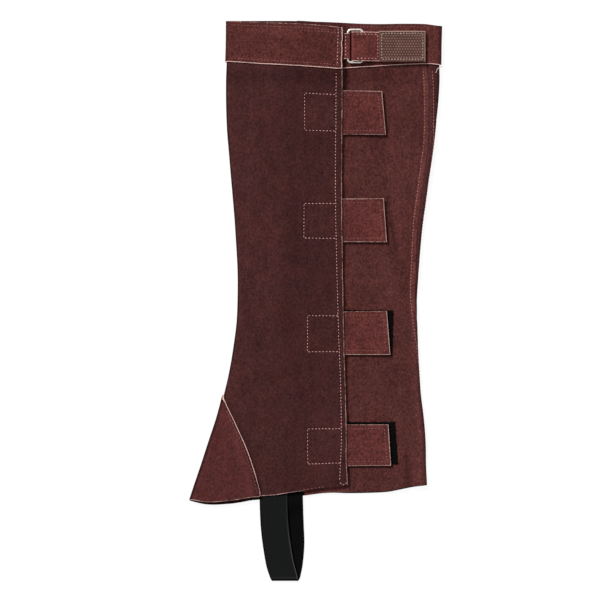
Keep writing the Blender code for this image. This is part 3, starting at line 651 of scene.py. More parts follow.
def shell(name, parts, materials, inner_slot=0):
    """A closed thin shell from grids of outer points, inner points and paint.

    Grids that share a column are joined along it.
    """
    outer, inner, paint = (np.concatenate([part[i].reshape(-1, 3) for part in parts])
                           for i in range(3))
    _, first, number = np.unique(np.round(outer, 4), axis=0, return_index=True,
                                 return_inverse=True)
    number = number.reshape(-1)
    quads, start = [], 0
    for part in parts:
        rows, columns = part[0].shape[:2]
        ids = number[start:start + rows * columns].reshape(rows, columns)
        corners = [ids[:-1, :-1], ids[1:, :-1], ids[1:, 1:], ids[:-1, 1:]]
        quads.append(np.stack([c.reshape(-1) for c in corners], -1))
        start += rows * columns
    quads = np.concatenate(quads)
    count = len(first)
    points = np.concatenate([outer[first], inner[first]])
    ends = np.concatenate([quads[:, [i, (i + 1) % 4]] for i in range(4)])
    keys = ends[:, 0] * count + ends[:, 1]
    lone = ~np.isin(ends[:, 1] * count + ends[:, 0], keys)
    rims = np.stack([ends[lone, 1], ends[lone, 0], ends[lone, 0] + count,
                     ends[lone, 1] + count], -1)
    faces = np.concatenate([quads, quads[:, ::-1] + count, rims])
    a, b, c, d = (points[faces[:, i]] for i in range(4))
    volume = np.einsum("ij,ij->i", a, np.cross(b, c)) + np.einsum("ij,ij->i", a, np.cross(c, d))
    if volume.sum() < 0:
        faces = faces[:, ::-1]
    obj = mesh_object(name, points, faces.tolist(), *materials)
    mesh = obj.data
    colour = mesh.color_attributes.new("paint", "FLOAT_COLOR", "POINT")
    values = np.ones((2 * count, 4), np.float32)
    # The inner face takes the outer paint darkened: the flesh side, and painted shade.
    values[:, :3] = np.concatenate([paint[first], paint[first] * FLESH_SIDE_AND_SHADE])
    colour.data.foreach_set("color", values.reshape(-1))
    slots = np.zeros(len(faces), np.int32)
    slots[len(quads):2 * len(quads)] = inner_slot
    mesh.polygons.foreach_set("material_index", slots)
    mesh.set_sharp_from_angle(angle=math.radians(50.0))
    mesh.update()
    return obj


def dress(obj, slot, node=None, flat=None, **sheet):
    """Fixes a piece to the half chap and hides its solid. Its finish, flat size and sheet are not
    used.
    """
    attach(obj, "root")
    if node:
        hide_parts(node)


# ---------------------------------------------------------------- panels, gusset and band

# Columns near the shin fold, as distances along the suede, and how they give way to the
# cut edge under the gusset.
FRONT_NEAR = np.array([0.0, 0.8, 1.6, 2.4, 3.2, 4.5])
FRONT_CUT = np.array([0.0, 0.45, 0.9, 2.5, 4.5, 6.5])
BACK_NEAR = np.array([0.0, 0.8, 1.6, 2.4, 3.2, 4.5, 6.5, 9.0, 11.0, 13.0, 16.0])
BACK_CUT = np.array([0.0, 0.45, 0.9, 4.0, 6.0, 8.0, 10.0, 12.0, 14.0, 16.0, 18.0])
# Shares of the way from there to the flap's edge, fine at the stitching.
FLAP_SHARES = np.concatenate([np.linspace(0.0, 0.60, 30)[1:], np.linspace(0.62, 0.78, 12),
                              np.linspace(0.795, 0.93, 10), np.linspace(0.937, 0.985, 9)])
FRONT_COLUMNS = len(FRONT_NEAR) + len(FLAP_SHARES) + len(RIM)
# The back's columns up to the calf fold's reach, and shares of the way on to the seam.
BACK_MIDDLE = 52
CALF_REACH = 14.0
CALF_SHARES = np.concatenate([0.9 * np.linspace(0.0, 1.0, 10)[1:], [0.95, 1.0]])
BACK_COLUMNS = len(BACK_NEAR) + BACK_MIDDLE + len(CALF_SHARES)
# The under panel's columns near the seam, as distances from it, and past them.
SEAM_NEAR = np.concatenate([[0.0, 0.7, 1.5], np.linspace(2.5, 7.0, 8)])
UNDER_MIDDLE = 58
GUSSET_COLUMNS = 26         # on each side of the fold
GUSSET_FOLD = 5.0 / GUSSET_COLUMNS
BAND_FOLD = np.array([-3.2, -2.4, -1.6, -0.8, 0.0, 0.8, 1.6, 2.4, 3.2, 4.5, 6.5, 10.0])
ROW_STEP = 2.6
ROWS_TOP = 209.0
ROWS_BOTTOM = -155.0


def wrap_part(u, y, edges, shade, relief, ridge=0.0, base=0.0):
    """Outer and inner points of a stretch of the wrap, with its edges rounded off.

    edges lists pairs: the distance in from an edge, and how much of the suede's pale core
    shows there, or None at a turned edge.
    """
    fall, core = np.zeros(u.shape), np.zeros(u.shape)
    for distance, pale in edges:
        if pale is None:
            fall = np.maximum(fall, drop(distance, TURNED_EDGE_WIDTH, TURNED_EDGE_DROP))
        else:
            fall = np.maximum(fall, drop(distance))
            core = np.maximum(core, raw(distance) * pale)
    middle = base - relief
    outer = wrap_point(u, y, middle + SUEDE / 2 + ridge - fall)
    return outer, wrap_point(u, y, middle - SUEDE / 2), painted(shade, core)


def tab_box(tab):
    """The box stitched through the flap over a tab: left, right, bottom and top."""
    return (tab.start + BOX_INSET, tab.start + BOX_END, tab.bottom_left + BOX_FOOT,
            tab.top_left - BOX_INSET)


def inside_box(tab, x, y):
    """How far inside a tab's box a place is. The box is open on the right."""
    left, _, bottom, top = tab_box(tab)
    return np.minimum(np.minimum(x - left, y - bottom), top - y)


def leg_grid(columns, count):
    """A leg piece's grid from columns(j, y), which gives u first and then distances from edges.

    Gives heights, what columns gives there, and distances from the top and from the hem.
    """
    j = np.arange(count)
    u_top, u_hem = (columns(j, y + 0.0 * j)[0] for y in (TOP_HEIGHT, HEM_HEIGHT))
    top = line_at(TOP_LINES, u_top, wrap_middle(u_top, TOP_HEIGHT)[0]) - PANEL_TOP_MARGIN
    hem = line_at(HEM_LINES, u_hem, wrap_middle(u_hem, HEM_HEIGHT)[0])
    fixed = [*np.arange(ROWS_TOP, ROWS_BOTTOM, -ROW_STEP), GUSSET_TOP, NOTCH_TOP, ROWS_BOTTOM]
    for tab in TABS:
        for edge in tab_box(tab)[2:]:
            fixed += [edge - 1.2, edge - 0.4, edge + 0.4, edge + 1.2]
    fixed = np.unique(np.round(fixed, 3))[::-1]
    upper = mix(top - RIM_WIDTH, fixed[0], np.linspace(0, 1, 11)[1:-1, None])
    lower = mix(fixed[-1], hem + RIM_WIDTH, np.linspace(0, 1, 9)[1:-1, None])
    y = np.concatenate([top - RIM[:, None], upper, np.repeat(fixed[:, None], count, 1), lower,
                        hem + RIM[::-1, None]])
    return y, columns(np.broadcast_to(j, y.shape), y), top - y, y - hem


def near_fold(j, near, cut, y):
    """Distance from the shin fold of column j and of the last near one, and of the cut edge."""
    lap = reach(y) - GUSSET_LAP
    k = np.minimum(j, len(near) - 1)
    return np.maximum(near[k], lap + cut[k]), np.maximum(near[-1], lap + cut[-1]), lap


def front_columns(j, y):
    """u of the front's column j, and its distance from the flap's edge and the cut edge."""
    near, last, lap = near_fold(j, FRONT_NEAR, FRONT_CUT, y)
    edge = quarter_fold(y, 0) + flap_edge(y) - fold_ends(y)[0]
    past = j - len(FRONT_NEAR)
    over = past - len(FLAP_SHARES)
    far = mix(last, edge - RIM_WIDTH, FLAP_SHARES[np.clip(past, 0, len(FLAP_SHARES) - 1)])
    close = edge - RIM[::-1][np.clip(over, 0, 2)]
    distance = np.where(past < 0, near, np.where(over < 0, far, close))
    from_cut = np.where(y > NOTCH_TOP, FAR, distance - lap)
    return u_from_shin(-distance, y), edge - distance, from_cut


def back_columns(j, y):
    """u of the back's column j, and its distance from the cut edge and from the seam."""
    near, last, lap = near_fold(j, BACK_NEAR, BACK_CUT, y)
    past = j - len(BACK_NEAR)
    over = past - BACK_MIDDLE
    share = np.clip(past + 1, 0, BACK_MIDDLE) / BACK_MIDDLE
    middle = mix(u_from_shin(last, y), u_from_calf(-CALF_REACH, y), share)
    seam = seam_shift(y) - SEAM_GAP / 2
    place = mix(-CALF_REACH, seam, CALF_SHARES[np.clip(over, 0, len(CALF_SHARES) - 1)])
    u = np.where(past < 0, u_from_shin(near, y), np.where(over < 0, middle, u_from_calf(place, y)))
    from_cut = np.where((past < 0) & (y <= NOTCH_TOP), near - lap, FAR)
    return u, from_cut, np.where(over >= 0, seam - place, FAR)


def under_columns(j, y):
    """u of the under panel's column j, and its distance from the seam."""
    seam = seam_shift(y) + SEAM_GAP / 2
    past = j - len(SEAM_NEAR)
    from_seam = SEAM_NEAR[np.minimum(j, len(SEAM_NEAR) - 1)]
    share = np.clip(past + 1, 0, UNDER_MIDDLE) / UNDER_MIDDLE
    rest = mix(u_from_calf(seam + SEAM_NEAR[-1], y), 5.0, share)
    u = np.where(past < 0, u_from_calf(seam + from_seam, y), rest)
    return u, np.where(past < 0, from_seam, FAR)


def flap_relief(x, y):
    """Down is plus: soft hollows, the flap's stitched rows and the tabs' shapes beneath."""
    row = np.abs(flap_row(y) - x)
    relief = press(FLAP_CREASES, x, y) + ROW_DEPTH * fade(0.0, 1.5, row) * (y < 205.0)
    for tab in TABS:
        inside = inside_box(tab, x, y)
        relief += ROW_DEPTH * fade(0.0, 1.4, np.abs(inside)) * (x < tab.start + BOX_END)
        relief -= TAB_SHAPE * smooth(-5.5, -1.5, inside)
    return relief


def flap_shade(x, y):
    """The flap's shade: lighter towards the shin and darker down the middle, with painted shade at
    the fold, below the band and along the stitched rows, and a painted shadow beside the gusset.
    """
    from_fold = x - left_edge(y)
    past_row = x - flap_row(y)
    past_edge = x - flap_edge(y)
    shade = 0.5 + 0.06 * fade(6.0, 50.0, from_fold) + spot_tone_and_shade(FLAP_SPOTS, x, y)
    shade -= 0.05 * smooth(-46.0, -18.0, x) * fade(12.0, 26.0, x)
    # Painted shade where the fold turns away.
    shade -= 0.34 * fade(1.3, 2.1, from_fold)
    # Painted shadow below the band.
    shade -= 0.06 * smooth(190.0, 206.0, y) * fade(206.0, 214.0, y)
    # Painted shade between the row and the flap's edge, and along the stitched rows of the row and
    # the boxes.
    shade -= 0.06 * smooth(0.6, 1.4, past_row) * smooth(-4.5, -1.0, past_edge)
    shade -= 0.09 * fade(0.5, 1.6, np.abs(past_row)) * (y < 206.0)
    for tab in TABS:
        rim = np.abs(inside_box(tab, x, y))
        shade -= 0.08 * fade(0.4, 1.5, rim) * (x < tab.start + BOX_END - 10.0)
    # Painted shadow beside the gusset's cut edge.
    past = past_gusset(x, y)
    by_gusset = smooth(1.0, 6.0, reach(y))
    shade -= (0.09 * fade(0.5, 6.0, past) + 0.14 * fade(0.6, 1.8, past)) * by_gusset
    return shade


def seam_light_and_pucker_shade(u, y):
    """The strip over the calf seam is lighter, with painted light on the main panel's side where
    it slopes away from the light, and painted shade and light of puckers across it.
    """
    seam_u, away = seam_at(u, y)
    x = wrap_middle(u, y)[0]
    pucker_shading = np.sin(2 * math.pi * (y + 1.4 * x + 2.0 * np.sin(y / 9.0)) / 3.6)
    strength = mix(0.27, 0.17, smooth(-0.5, 0.5, u - seam_u)) + 0.10 * pucker_shading
    return strength * fade(4.2, 5.2, away) * smooth(2.9, 3.1, u)


def under_shade(x, y):
    """The under panel's shade: painted shade at the calf fold, in its creases and below the band,
    painted light beside the flap's raw edge against its shadow, and the listed spots.
    """
    # Painted shade at the calf fold.
    shade = 0.5 - 0.05 * fade(0.5, 2.5, right_edge(y) - x)
    shade += spot_tone_and_shade(UNDER_SPOTS_AND_SHADE, x, y)
    # Painted light beside the flap's raw edge, against the flap's cast shadow.
    shade += 0.26 * fade(1.2, 3.2, x - flap_edge(y))
    # Painted shade in the creases and below the band.
    return shade - press(UNDER_CREASE_SHADE, x, y) - 0.05 * smooth(188.0, 204.0, y)


def build_main_panel(material):
    """The panel's shell: front to the shin fold, then the back and round to the seam."""
    y, (u, from_edge, from_cut), from_top, from_hem = leg_grid(front_columns, FRONT_COLUMNS)
    x = wrap_middle(u, y)[0]
    hem_pale = mix(0.8, 0.15, smooth(-24.0, 3.0, x))
    edges = [(from_edge, 0.72), (from_hem, hem_pale), (from_top, 1.0), (from_cut, 1.0)]
    front = wrap_part(u, y, edges, flap_shade(x, y), flap_relief(x, y))
    for face in front[:2]:
        face[..., 0] += fade(0.0, 5.0, from_edge) * (FLAP_EDGE_OUT + wander(y, 3))
        face[..., 1] += fade(0.0, 5.0, from_hem) * wander(x, 4, 0.12)

    y, (u, from_cut, from_seam), from_top, from_hem = leg_grid(back_columns, BACK_COLUMNS)
    x = wrap_middle(u, y)[0]
    # The back's hem shows little pale core: painted shade where it lies below the front's hem.
    edges = [(from_seam, None), (from_hem, 0.1), (from_top, 0.4), (from_cut, 0.6)]
    relief = press(BACK_CREASES, x, y) * (smooth(2.0, 2.1, u) * fade(2.9, 3.0, u))
    # Painted shade where the back turns away round the calf and shin folds, and the seam strip's
    # painted light.
    shade = 0.5 + seam_light_and_pucker_shade(u, y) - 0.12 * fade(0.9, 2.2, right_edge(y) - x)
    shade -= 0.10 * fade(0.5, 4.0, x - left_edge(y))
    # The shin fold's shared column takes the front's shade and relief.
    shade[:, 0] = flap_shade(x[:, 0], y[:, 0])
    relief[:, 0] = flap_relief(x[:, 0], y[:, 0])
    back = wrap_part(u, y, edges, shade, relief, ridge_at(u, y))
    return shell("main_panel_suede", [front, back], [material])


def build_under_panel(material):
    count = len(SEAM_NEAR) + UNDER_MIDDLE
    y, (u, from_seam), from_top, from_hem = leg_grid(under_columns, count)
    x = wrap_middle(u, y)[0]
    room = 0.2 + under_floor(x, y) - UNDER_LIFT
    relief = np.minimum(press(UNDER_FINE_CREASES, x, y), room) * smooth(3.9, 4.05, u)
    edges = [(from_seam, None), (from_hem, 0.25), (from_top, 0.3)]
    shade = under_shade(x, y) + seam_light_and_pucker_shade(u, y)
    part = wrap_part(u, y, edges, shade, relief, ridge_at(u, y))
    return shell("under_panel_suede", [part], [material])


def gusset_distance(share, y):
    """Distance from the shin fold at a share of the gusset's reach, minus on the front."""
    lap = reach(y)
    near = np.minimum(4.0, 0.6 * lap)
    away = np.abs(share)
    outer = mix(near, lap, (away - GUSSET_FOLD) / (1.0 - GUSSET_FOLD))
    return np.sign(share) * np.where(away < GUSSET_FOLD, near * away / GUSSET_FOLD, outer)


def build_gusset(material):
    """The toe piece's shell, from its front seam edge round the fold to its back seam edge."""
    shares = np.linspace(-1.0, 1.0, 2 * GUSSET_COLUMNS + 1)
    at_hem = HEM_HEIGHT + 0 * shares
    u_hem = u_from_shin(gusset_distance(shares, at_hem), at_hem)
    hem = line_at(HEM_LINES, u_hem, wrap_middle(u_hem, HEM_HEIGHT)[0])
    steps = np.linspace(0.0, 1.0, 48)[:-1] ** 1.15
    y = np.concatenate([mix(GUSSET_TOP, hem + RIM_WIDTH, steps[:, None]), hem + RIM[::-1, None]])
    share = np.broadcast_to(shares, y.shape)
    distance = gusset_distance(share, y)
    # Close columns at both seam edges, so that the pale cut edge is narrow.
    lap = reach(y)
    for column, least in ((1, 0.7), (2, 0.5)):
        close = np.sign(share) * np.maximum(lap - RIM[column], least * lap)
        distance[:, [column, -1 - column]] = close[:, [column, -1 - column]]
    u = u_from_shin(distance, y)
    x = wrap_middle(u, y)[0]
    from_seam = lap - np.abs(distance)
    seam_pale = mix(0.85, 1.25, smooth(-165.0, -140.0, y))
    # The back layer's hem shows little pale core: painted shade below the front's hem.
    edges = [(0.85 * from_seam, seam_pale), (y - hem, np.where(distance < 1.0, 0.7, 0.2)),
             (GUSSET_TOP - y, 1.0)]
    # Painted shade where the shin fold turns away and just inside the cut edge; lighter beside the
    # seam and at its lower corner.
    shade = 0.5 - 0.36 * fade(1.15, 1.85, x - left_edge(y))
    shade += 0.11 * smooth(1.4, 2.4, from_seam) * fade(6.0, 15.0, from_seam)
    shade -= 0.20 * smooth(0.5, 0.8, from_seam) * fade(1.0, 1.8, from_seam)
    shade += 0.07 * np.exp(-((x + 57.0) / 7.0) ** 2 - ((y + 168.0) / 9.0) ** 2)
    relief = press(GUSSET_CREASES, x, y) * (distance < -6.0)
    relief += 0.14 * fade(0.0, 1.4, np.abs(from_seam - GUSSET_ROW)) * (distance < 0)
    part = wrap_part(u, y, edges, shade, relief, base=LAYER)
    return shell("foot_gusset_suede", [part], [material])


def band_columns():
    """u of the band's columns, close together at its flap end and round the folds."""
    edge = quarter_fold(BAND_MIDDLE, 0) + flap_edge(BAND_MIDDLE)
    edge = float(edge - fold_ends(BAND_MIDDLE)[0])
    front = edge - np.concatenate([RIM, np.linspace(2.0, edge - 4.5, 54)])
    shin = u_from_shin(np.concatenate([-front, BAND_FOLD]), BAND_MIDDLE)
    calf = u_from_calf(np.linspace(-CALF_REACH, CALF_REACH, 30), BAND_MIDDLE)
    return np.concatenate([shin, np.linspace(shin[-1], calf[0], 50)[1:-1], calf,
                           np.linspace(calf[-1], 5.0, 62)[1:]])


def build_band(material):
    u = band_columns()
    x = wrap_middle(u, BAND_MIDDLE)[0]
    top, bottom = line_at(TOP_LINES, u, x), line_at(BAND_BOTTOM, u, x)
    height = (top - bottom).mean()
    y = top + (bottom - top) * (spread(height, 1.6) / height)[:, None]
    u = np.broadcast_to(u, y.shape)
    x = wrap_middle(u, y)[0]
    front, under = u < 1.0, u > 4.0
    from_edge = np.where(front, flap_edge(y) - x, FAR)
    edges = [(y - bottom, 1.7), (top - y, 0.45 * front), (from_edge, 1.7)]
    row = np.minimum(np.abs(top - y - BAND_TOP_ROW), np.abs(y - bottom - BAND_BOTTOM_ROW))
    on_back = smooth(1.9, 2.1, u) * fade(2.9, 3.1, u)
    relief = 0.13 * fade(0.0, 1.4, row) * (1.0 - on_back)
    relief += press(BAND_CREASES, x, y) * (front | under)
    # Painted shade at both folds, and on the under side by the flap's edge and the keeper; then
    # the listed spots, one a painted highlight.
    shade = 0.5 - 0.18 * fade(2.7, 3.6, x - (left_edge(y) - LAYER))
    shade -= 0.12 * fade(2.2, 3.6, right_edge(y) + LAYER - x)
    shade += (0.045 * smooth(20.0, 40.0, x) - 0.16 * fade(26.0, 31.0, x)) * under
    shade += spot_tone_and_shade(BAND_SPOTS_AND_HIGHLIGHT, x, y) * (front | under)
    part = wrap_part(u, y, edges, shade, relief, base=LAYER)
    near_bottom = fade(0.0, 4.0, y - bottom) * np.where(u > 2.5, 1.0, -1.0)
    for face in part[:2]:
        face[..., 0] += fade(0.0, 5.0, from_edge) * (wander(3.0 * y, 5, 0.45) - 0.3)
        face[..., 1] += near_bottom * wander(x, 6, 0.15)
    return shell("top_band_suede", [part], [material])


# ---------------------------------------------------------------- tabs, pile, strap and ring

PAD_STEP = 1.3
RIBBON_STEP = 1.5
GRAIN_STEP = 0.38


def pad(name, corners, step, floor, thickness, materials, relief=None, shade=None, wear=None,
        edges=(1.0, 1.0, 1.0, 1.0), rough=0.0, inner_slot=0):
    """A flat piece laid on a height, and its flat size. Corners start at the top left.

    edges says how much pale core shows at the left, right, bottom and top. rough frays them.
    """
    tl, tr, br, bl = (np.array(corner) for corner in corners)
    size = (tr[0] - tl[0], tl[1] - bl[1])
    across, down = spread(size[0], step), spread(size[1], step)
    s = np.broadcast_to(across / size[0], (len(down), len(across)))
    t = np.broadcast_to((down / size[1])[:, None], s.shape)
    place = mix(mix(tl, tr, s[..., None]), mix(bl, br, s[..., None]), t[..., None])
    sides = np.stack([s * size[0], (1 - s) * size[0], (1 - t) * size[1], t * size[1]])
    inset = sides.min(0)
    if rough:
        near = rough * fade(0.0, 1.0, inset)
        place = place + near[..., None] * rng.normal(0.0, 1.0, (*s.shape, 2))
    x, y = place[..., 0], place[..., 1]
    low = floor(x, y)
    high = low + thickness - (relief(x, y, inset) if relief else 0.0) - drop(inset)
    core = (raw(sides) * np.reshape(edges, (4, 1, 1))).max(0)
    tone = shade(x, y) if shade else 0.5
    paint = painted(tone, core, wear(x, y, inset) if wear else 0.0)
    grid = (np.stack([x, y, high], -1), np.stack([x, y, low], -1), paint)
    obj = shell(name, [grid], materials, inner_slot)
    return obj, (float(size[0]) * MM, float(size[1]) * MM)


def on_under_panel(x, y):
    return under_floor(x, y) + SUEDE + GAP


def tab_floor(tab, x, y):
    lift = TAB_END_LIFT * smooth(tab.end_top - TAB_LIFT_LENGTH, tab.end_top + 4.0, x)
    return on_under_panel(x, y) + PILE + GAP + lift


def pile_relief(x, y, inset):
    return PILE_DEPTH * rng.random(x.shape)


def tab_shade(x, y):
    """Painted light just past the flap's edge, which covers the tab's start, against the flap's
    cast shadow, and a soft painted shadow further on.
    """
    past = x - flap_edge(y)
    return 0.5 - 0.06 * smooth(1.0, 2.0, past) * fade(2.0, 6.0, past) + 0.22 * fade(0.8, 2.0, past)


def build_closures(suede, pile, hooks):
    """The four pile patches and the tabs that fasten on them."""
    for i, (tab, patch, hollow) in enumerate(zip(TABS, LOOP_PATCHES, TAB_HOLLOWS), 1):
        corners = [(patch.start, patch.top), (patch.end_top, patch.top),
                   (patch.end_bottom, patch.bottom), (patch.start, patch.bottom)]
        pad_piece, flat = pad(f"loop_patch_pile_{i}", corners, PAD_STEP, on_under_panel, PILE,
                              [pile], pile_relief, edges=(0.0, 0.0, 0.0, 0.0), rough=PILE_FRAY)
        dress(pad_piece, "pile", f"loop_patch_{i}", flat, held="laid",
              rests_on=["under_panel_suede"])

        def floor(x, y):
            return tab_floor(tab, x, y)

        def relief(x, y, inset):
            return 0.15 * fade(0.0, 1.3, np.abs(inset - TAB_ROW)) + press([hollow], x, y)

        corners = [(tab.start, tab.top_left), (tab.end_top, tab.top_right),
                   (tab.end_bottom, tab.bottom_right), (tab.start, tab.bottom_left)]
        piece, flat = pad(f"closure_tab_suede_{i}", corners, PAD_STEP, floor, SUEDE,
                          [suede, hooks], relief, tab_shade, edges=(0.0, 1.0, 0.75, 0.6),
                          inner_slot=1)
        dress(piece, "tab_suede", f"closure_tab_{i}", flat, held="laid",
              rests_on=[pad_piece.name])


def ribbon(name, path, bottom, top, thickness, material, shade, relief=None):
    """A strip with a path of x and z points, as wide as bottom to top along Y."""
    tangent = np.gradient(path, axis=0)
    tangent /= np.linalg.norm(tangent, axis=1)[:, None]
    run = run_along(path)
    width = top - bottom
    across = spread(width, RIBBON_STEP)
    shape = (len(path), len(across))
    x, z, nx, nz, along = (np.broadcast_to(column[:, None], shape) for column in (
        path[:, 0], path[:, 1], tangent[:, 1], -tangent[:, 0], run))
    y = np.broadcast_to(top - across, shape)
    edge = np.minimum(np.minimum(across, width - across), np.minimum(along, run[-1] - along))
    out = thickness / 2 - drop(edge) - (relief(y, along) if relief else 0.0)
    outer, inner = (np.stack([x + nx * far, y, z + nz * far], -1) for far in (out, -thickness / 2))
    obj = shell(name, [(outer, inner, painted(shade(x), raw(edge)))], [material])
    return obj, (width * MM, float(run[-1]) * MM)


def arc(centre, radius, start, end, steps):
    angles = np.radians(np.linspace(start, end, steps + 1))
    return [(centre[0] + radius * math.cos(a), centre[1] + radius * math.sin(a)) for a in angles]


def evenly(path, step):
    """The same path with points about a step apart, and close together at its ends."""
    run = run_along(path)
    places = np.concatenate([RIM, np.arange(RIM_WIDTH + step, run[-1] - 1.2, step),
                             run[-1] - RIM[::-1]])
    return between(places, run, path)


def band_under_top(x, y):
    """Height of the band's face over the under panel."""
    return under_floor(x, y) + SUEDE + LAYER


def band_top(x):
    """Its height below the strap."""
    return band_under_top(x, STRAP_MIDDLE + 0.0 * x)


def strap_low(x):
    """Height of the middle of the strap's lower layer."""
    return band_top(x) + GAP + SUEDE / 2


def strap_high(x):
    """Height of the middle of its upper layer, which comes down from the ring."""
    return mix(OVER_RING + SUEDE / 2, strap_low(x) + LAYER, smooth(*STRAP_OVER_RING, x))


def strap_top(x, y):
    return strap_high(x) + SUEDE / 2


def strap_patch_floor(x, y):
    return band_top(x) + GAP + SUEDE + LAYER


def build_keeper(material):
    low = float(band_top(KEEPER_START)) + GAP + KEEPER_SUEDE / 2
    high = low + KEEPER_SUEDE + GAP
    round_bar = RING_WIRE + GAP + KEEPER_SUEDE / 2
    path = [(KEEPER_START, low), (19.0, low), (24.5, low + 0.1)]
    path += arc((RING_LEFT, RING_HEIGHT), round_bar, -90.0, 130.0, 22)
    path += [(25.4, high + 0.75), (24.2, high + 0.1), (22.5, high), (KEEPER_START, high)]
    # Painted light on the keeper's fold round the ring's bar, which faces away from the light.
    return ribbon("ring_keeper_suede", evenly(path, 0.7), KEEPER_BOTTOM, KEEPER_TOP,
                  KEEPER_SUEDE, material, lambda x: 0.52 + 0.5 * smooth(28.4, 30.0, x))


def strap_path():
    """Out from the end of the upper layer, round the ring's bar and back below it."""
    low, high = float(strap_low(STRAP_FOLD)), OVER_RING + SUEDE / 2
    radius = (high - low) / 2
    turn = STRAP_FOLD + radius
    x_low, x_high = (np.linspace(turn + 2.0, STRAP_END, count) for count in (40, 60))
    return np.concatenate([np.stack([x_high, strap_high(x_high)], -1)[::-1],
                           arc((turn, (high + low) / 2), radius, 90.0, 270.0, 18),
                           np.stack([x_low, strap_low(x_low)], -1)])


def strap_relief(y, run):
    inset = np.minimum(STRAP_TOP - y, y - STRAP_BOTTOM)
    return 0.12 * fade(0.0, 1.2, np.abs(inset - STRAP_ROW)) * (run < 62.0)


def build_strap(material):
    # A little lighter all over, with painted light on its fold round the ring.
    return ribbon("top_strap_suede", evenly(strap_path(), 1.2), STRAP_BOTTOM, STRAP_TOP, SUEDE,
                  material, lambda x: 0.55 + 0.1 * fade(32.5, 34.5, x), strap_relief)


def grain_relief(x, y, inset):
    """Stamped grains in staggered rows inside the patch's stitched border."""
    along = x / GRAIN_PITCH + 0.5 * (np.floor(y / GRAIN_PITCH) % 2)
    high = (0.5 - 0.5 * np.cos(2 * math.pi * along)) * (
        0.5 - 0.5 * np.cos(2 * math.pi * y / GRAIN_PITCH))
    border = 0.9 * fade(0.3, 1.2, np.abs(inset - PATCH_ROW))
    return GRAIN_DEPTH * ((1.0 - high) * smooth(3.0, 3.6, inset) + border)


def grain_wear(x, y, inset):
    """1 on the stamp's worn highs and 0 in its hollows: the plain rim is little worn."""
    high = 1.0 - np.clip(grain_relief(x, y, inset) / GRAIN_DEPTH, 0.0, 1.0)
    return high * mix(0.3, 1.0, smooth(3.2, 3.8, inset))


def build_patch(material):
    corners = box_corners(STRAP_PATCH_START, STRAP_PATCH_END, STRAP_PATCH_BOTTOM, STRAP_PATCH_TOP)
    return pad("strap_patch_leather", corners, GRAIN_STEP, strap_patch_floor, PATCH_LEATHER,
               [material], grain_relief, wear=grain_wear, edges=(0.4, 1.2, 0.45, 1.35))


def build_ring(material):
    """A rounded rectangle of wire, smooth enough for a close look."""
    sides, corner_steps = 20, 14
    corners = box_corners(RING_LEFT + RING_CORNER, RING_RIGHT - RING_CORNER,
                          RING_BOTTOM + RING_CORNER, RING_TOP - RING_CORNER)
    points = []
    for (x, y), start in zip(corners, (90.0, 0.0, 270.0, 180.0)):
        for step in range(corner_steps, -1, -1):
            turn = math.radians(start + 90.0 * step / corner_steps)
            for s in range(sides):
                angle = 2 * math.pi * s / sides
                far = RING_CORNER + RING_WIRE * math.cos(angle)
                points.append((x + math.cos(turn) * far, y + math.sin(turn) * far,
                               RING_HEIGHT + RING_WIRE * math.sin(angle)))
    faces = tube_faces(len(corners) * (corner_steps + 1), sides, closed=True)
    return mesh_object("ring_wire", points, faces, material)


def elastic_stations():
    """The elastic's middle line, close together: distance along it, x, y, z and tilt."""
    top, bottom = ELASTIC_FRONT[-1], ELASTIC_BACK[0]
    middle, radius = (top.z + bottom.z) / 2, (top.z - bottom.z) / 2
    turn = [(mix(top.x, bottom.x, angle / math.pi),
             top.y - (top.y - ELASTIC_TURN_Y) * math.sin(angle),
             middle + radius * math.cos(angle), 0.0)
            for angle in np.linspace(0.0, math.pi, 15)[1:-1]]
    rows = np.array([*ELASTIC_FRONT, *turn, *ELASTIC_BACK])
    run = run_along(rows[:, :3])
    stations = table("run x y z tilt", *np.column_stack([run, rows]))
    fine = np.arange(0.0, run[-1], 0.9)
    return fine, *(read(stations, fine, column) for column in ("x", "y", "z", "tilt"))


def build_elastic(material):
    run, x, y, z, tilt = (column[:, None] for column in elastic_stations())
    dy, dz = np.gradient(y, axis=0), np.gradient(z, axis=0)
    length = np.hypot(dy, dz)
    across = np.linspace(-0.5, 0.5, 64) * ELASTIC_WIDTH
    cords = np.abs(np.sin(across * math.pi / CORD_PITCH)) ** 0.6
    selvedge = SELVEDGE_RISE * smooth(*SELVEDGE, np.abs(across))
    out = ELASTIC / 2 - CORD_SINK + CORD_DEPTH * cords + selvedge
    # The fold's corners are rounded off.
    above = y - y.min()
    across = across * (1.0 - 0.075 * np.clip(1.0 - above / FOLD_CORNER, 0.0, 1.0) ** 2.2)
    turn = np.radians(tilt)
    outer, inner = (np.stack([x + across * np.cos(turn),
                              y + across * np.sin(turn) + far * (dz / length),
                              z - far * (dy / length)], -1) for far in (out, -out))
    front = fade(0.0, 1.0, run - run[np.argmin(y)])
    side = across / (ELASTIC_WIDTH / 2)
    # Painted shade: the back run, under the front, and the left edge are darker.
    tone = 0.5 * mix(0.42, 1.0, front) * (1.0 - 0.55 * smooth(0.90, 1.0, -side))
    # A painted highlight along the front run's right selvedge, brighter further down.
    lower = front * mix(0.7, 2.6, smooth(-190.0, -225.0, y))
    tone = tone + lower * smooth(0.90, 0.94, side) * fade(0.965, 0.99, side)
    # A painted highlight across the fold, and painted shade at its very bottom.
    fold_light = smooth(1.7, 2.2, above) * fade(2.6, 3.2, above)
    tone = tone * mix(0.35, 1.0, smooth(0.6, 1.8, above)) + 0.9 * front * fold_light
    obj = shell("foot_elastic_webbing", [(outer, inner, painted(tone, cords))], [material])
    return obj, (ELASTIC_WIDTH * MM, float(run[-1, 0]) * MM)


# ---------------------------------------------------------------- sewing

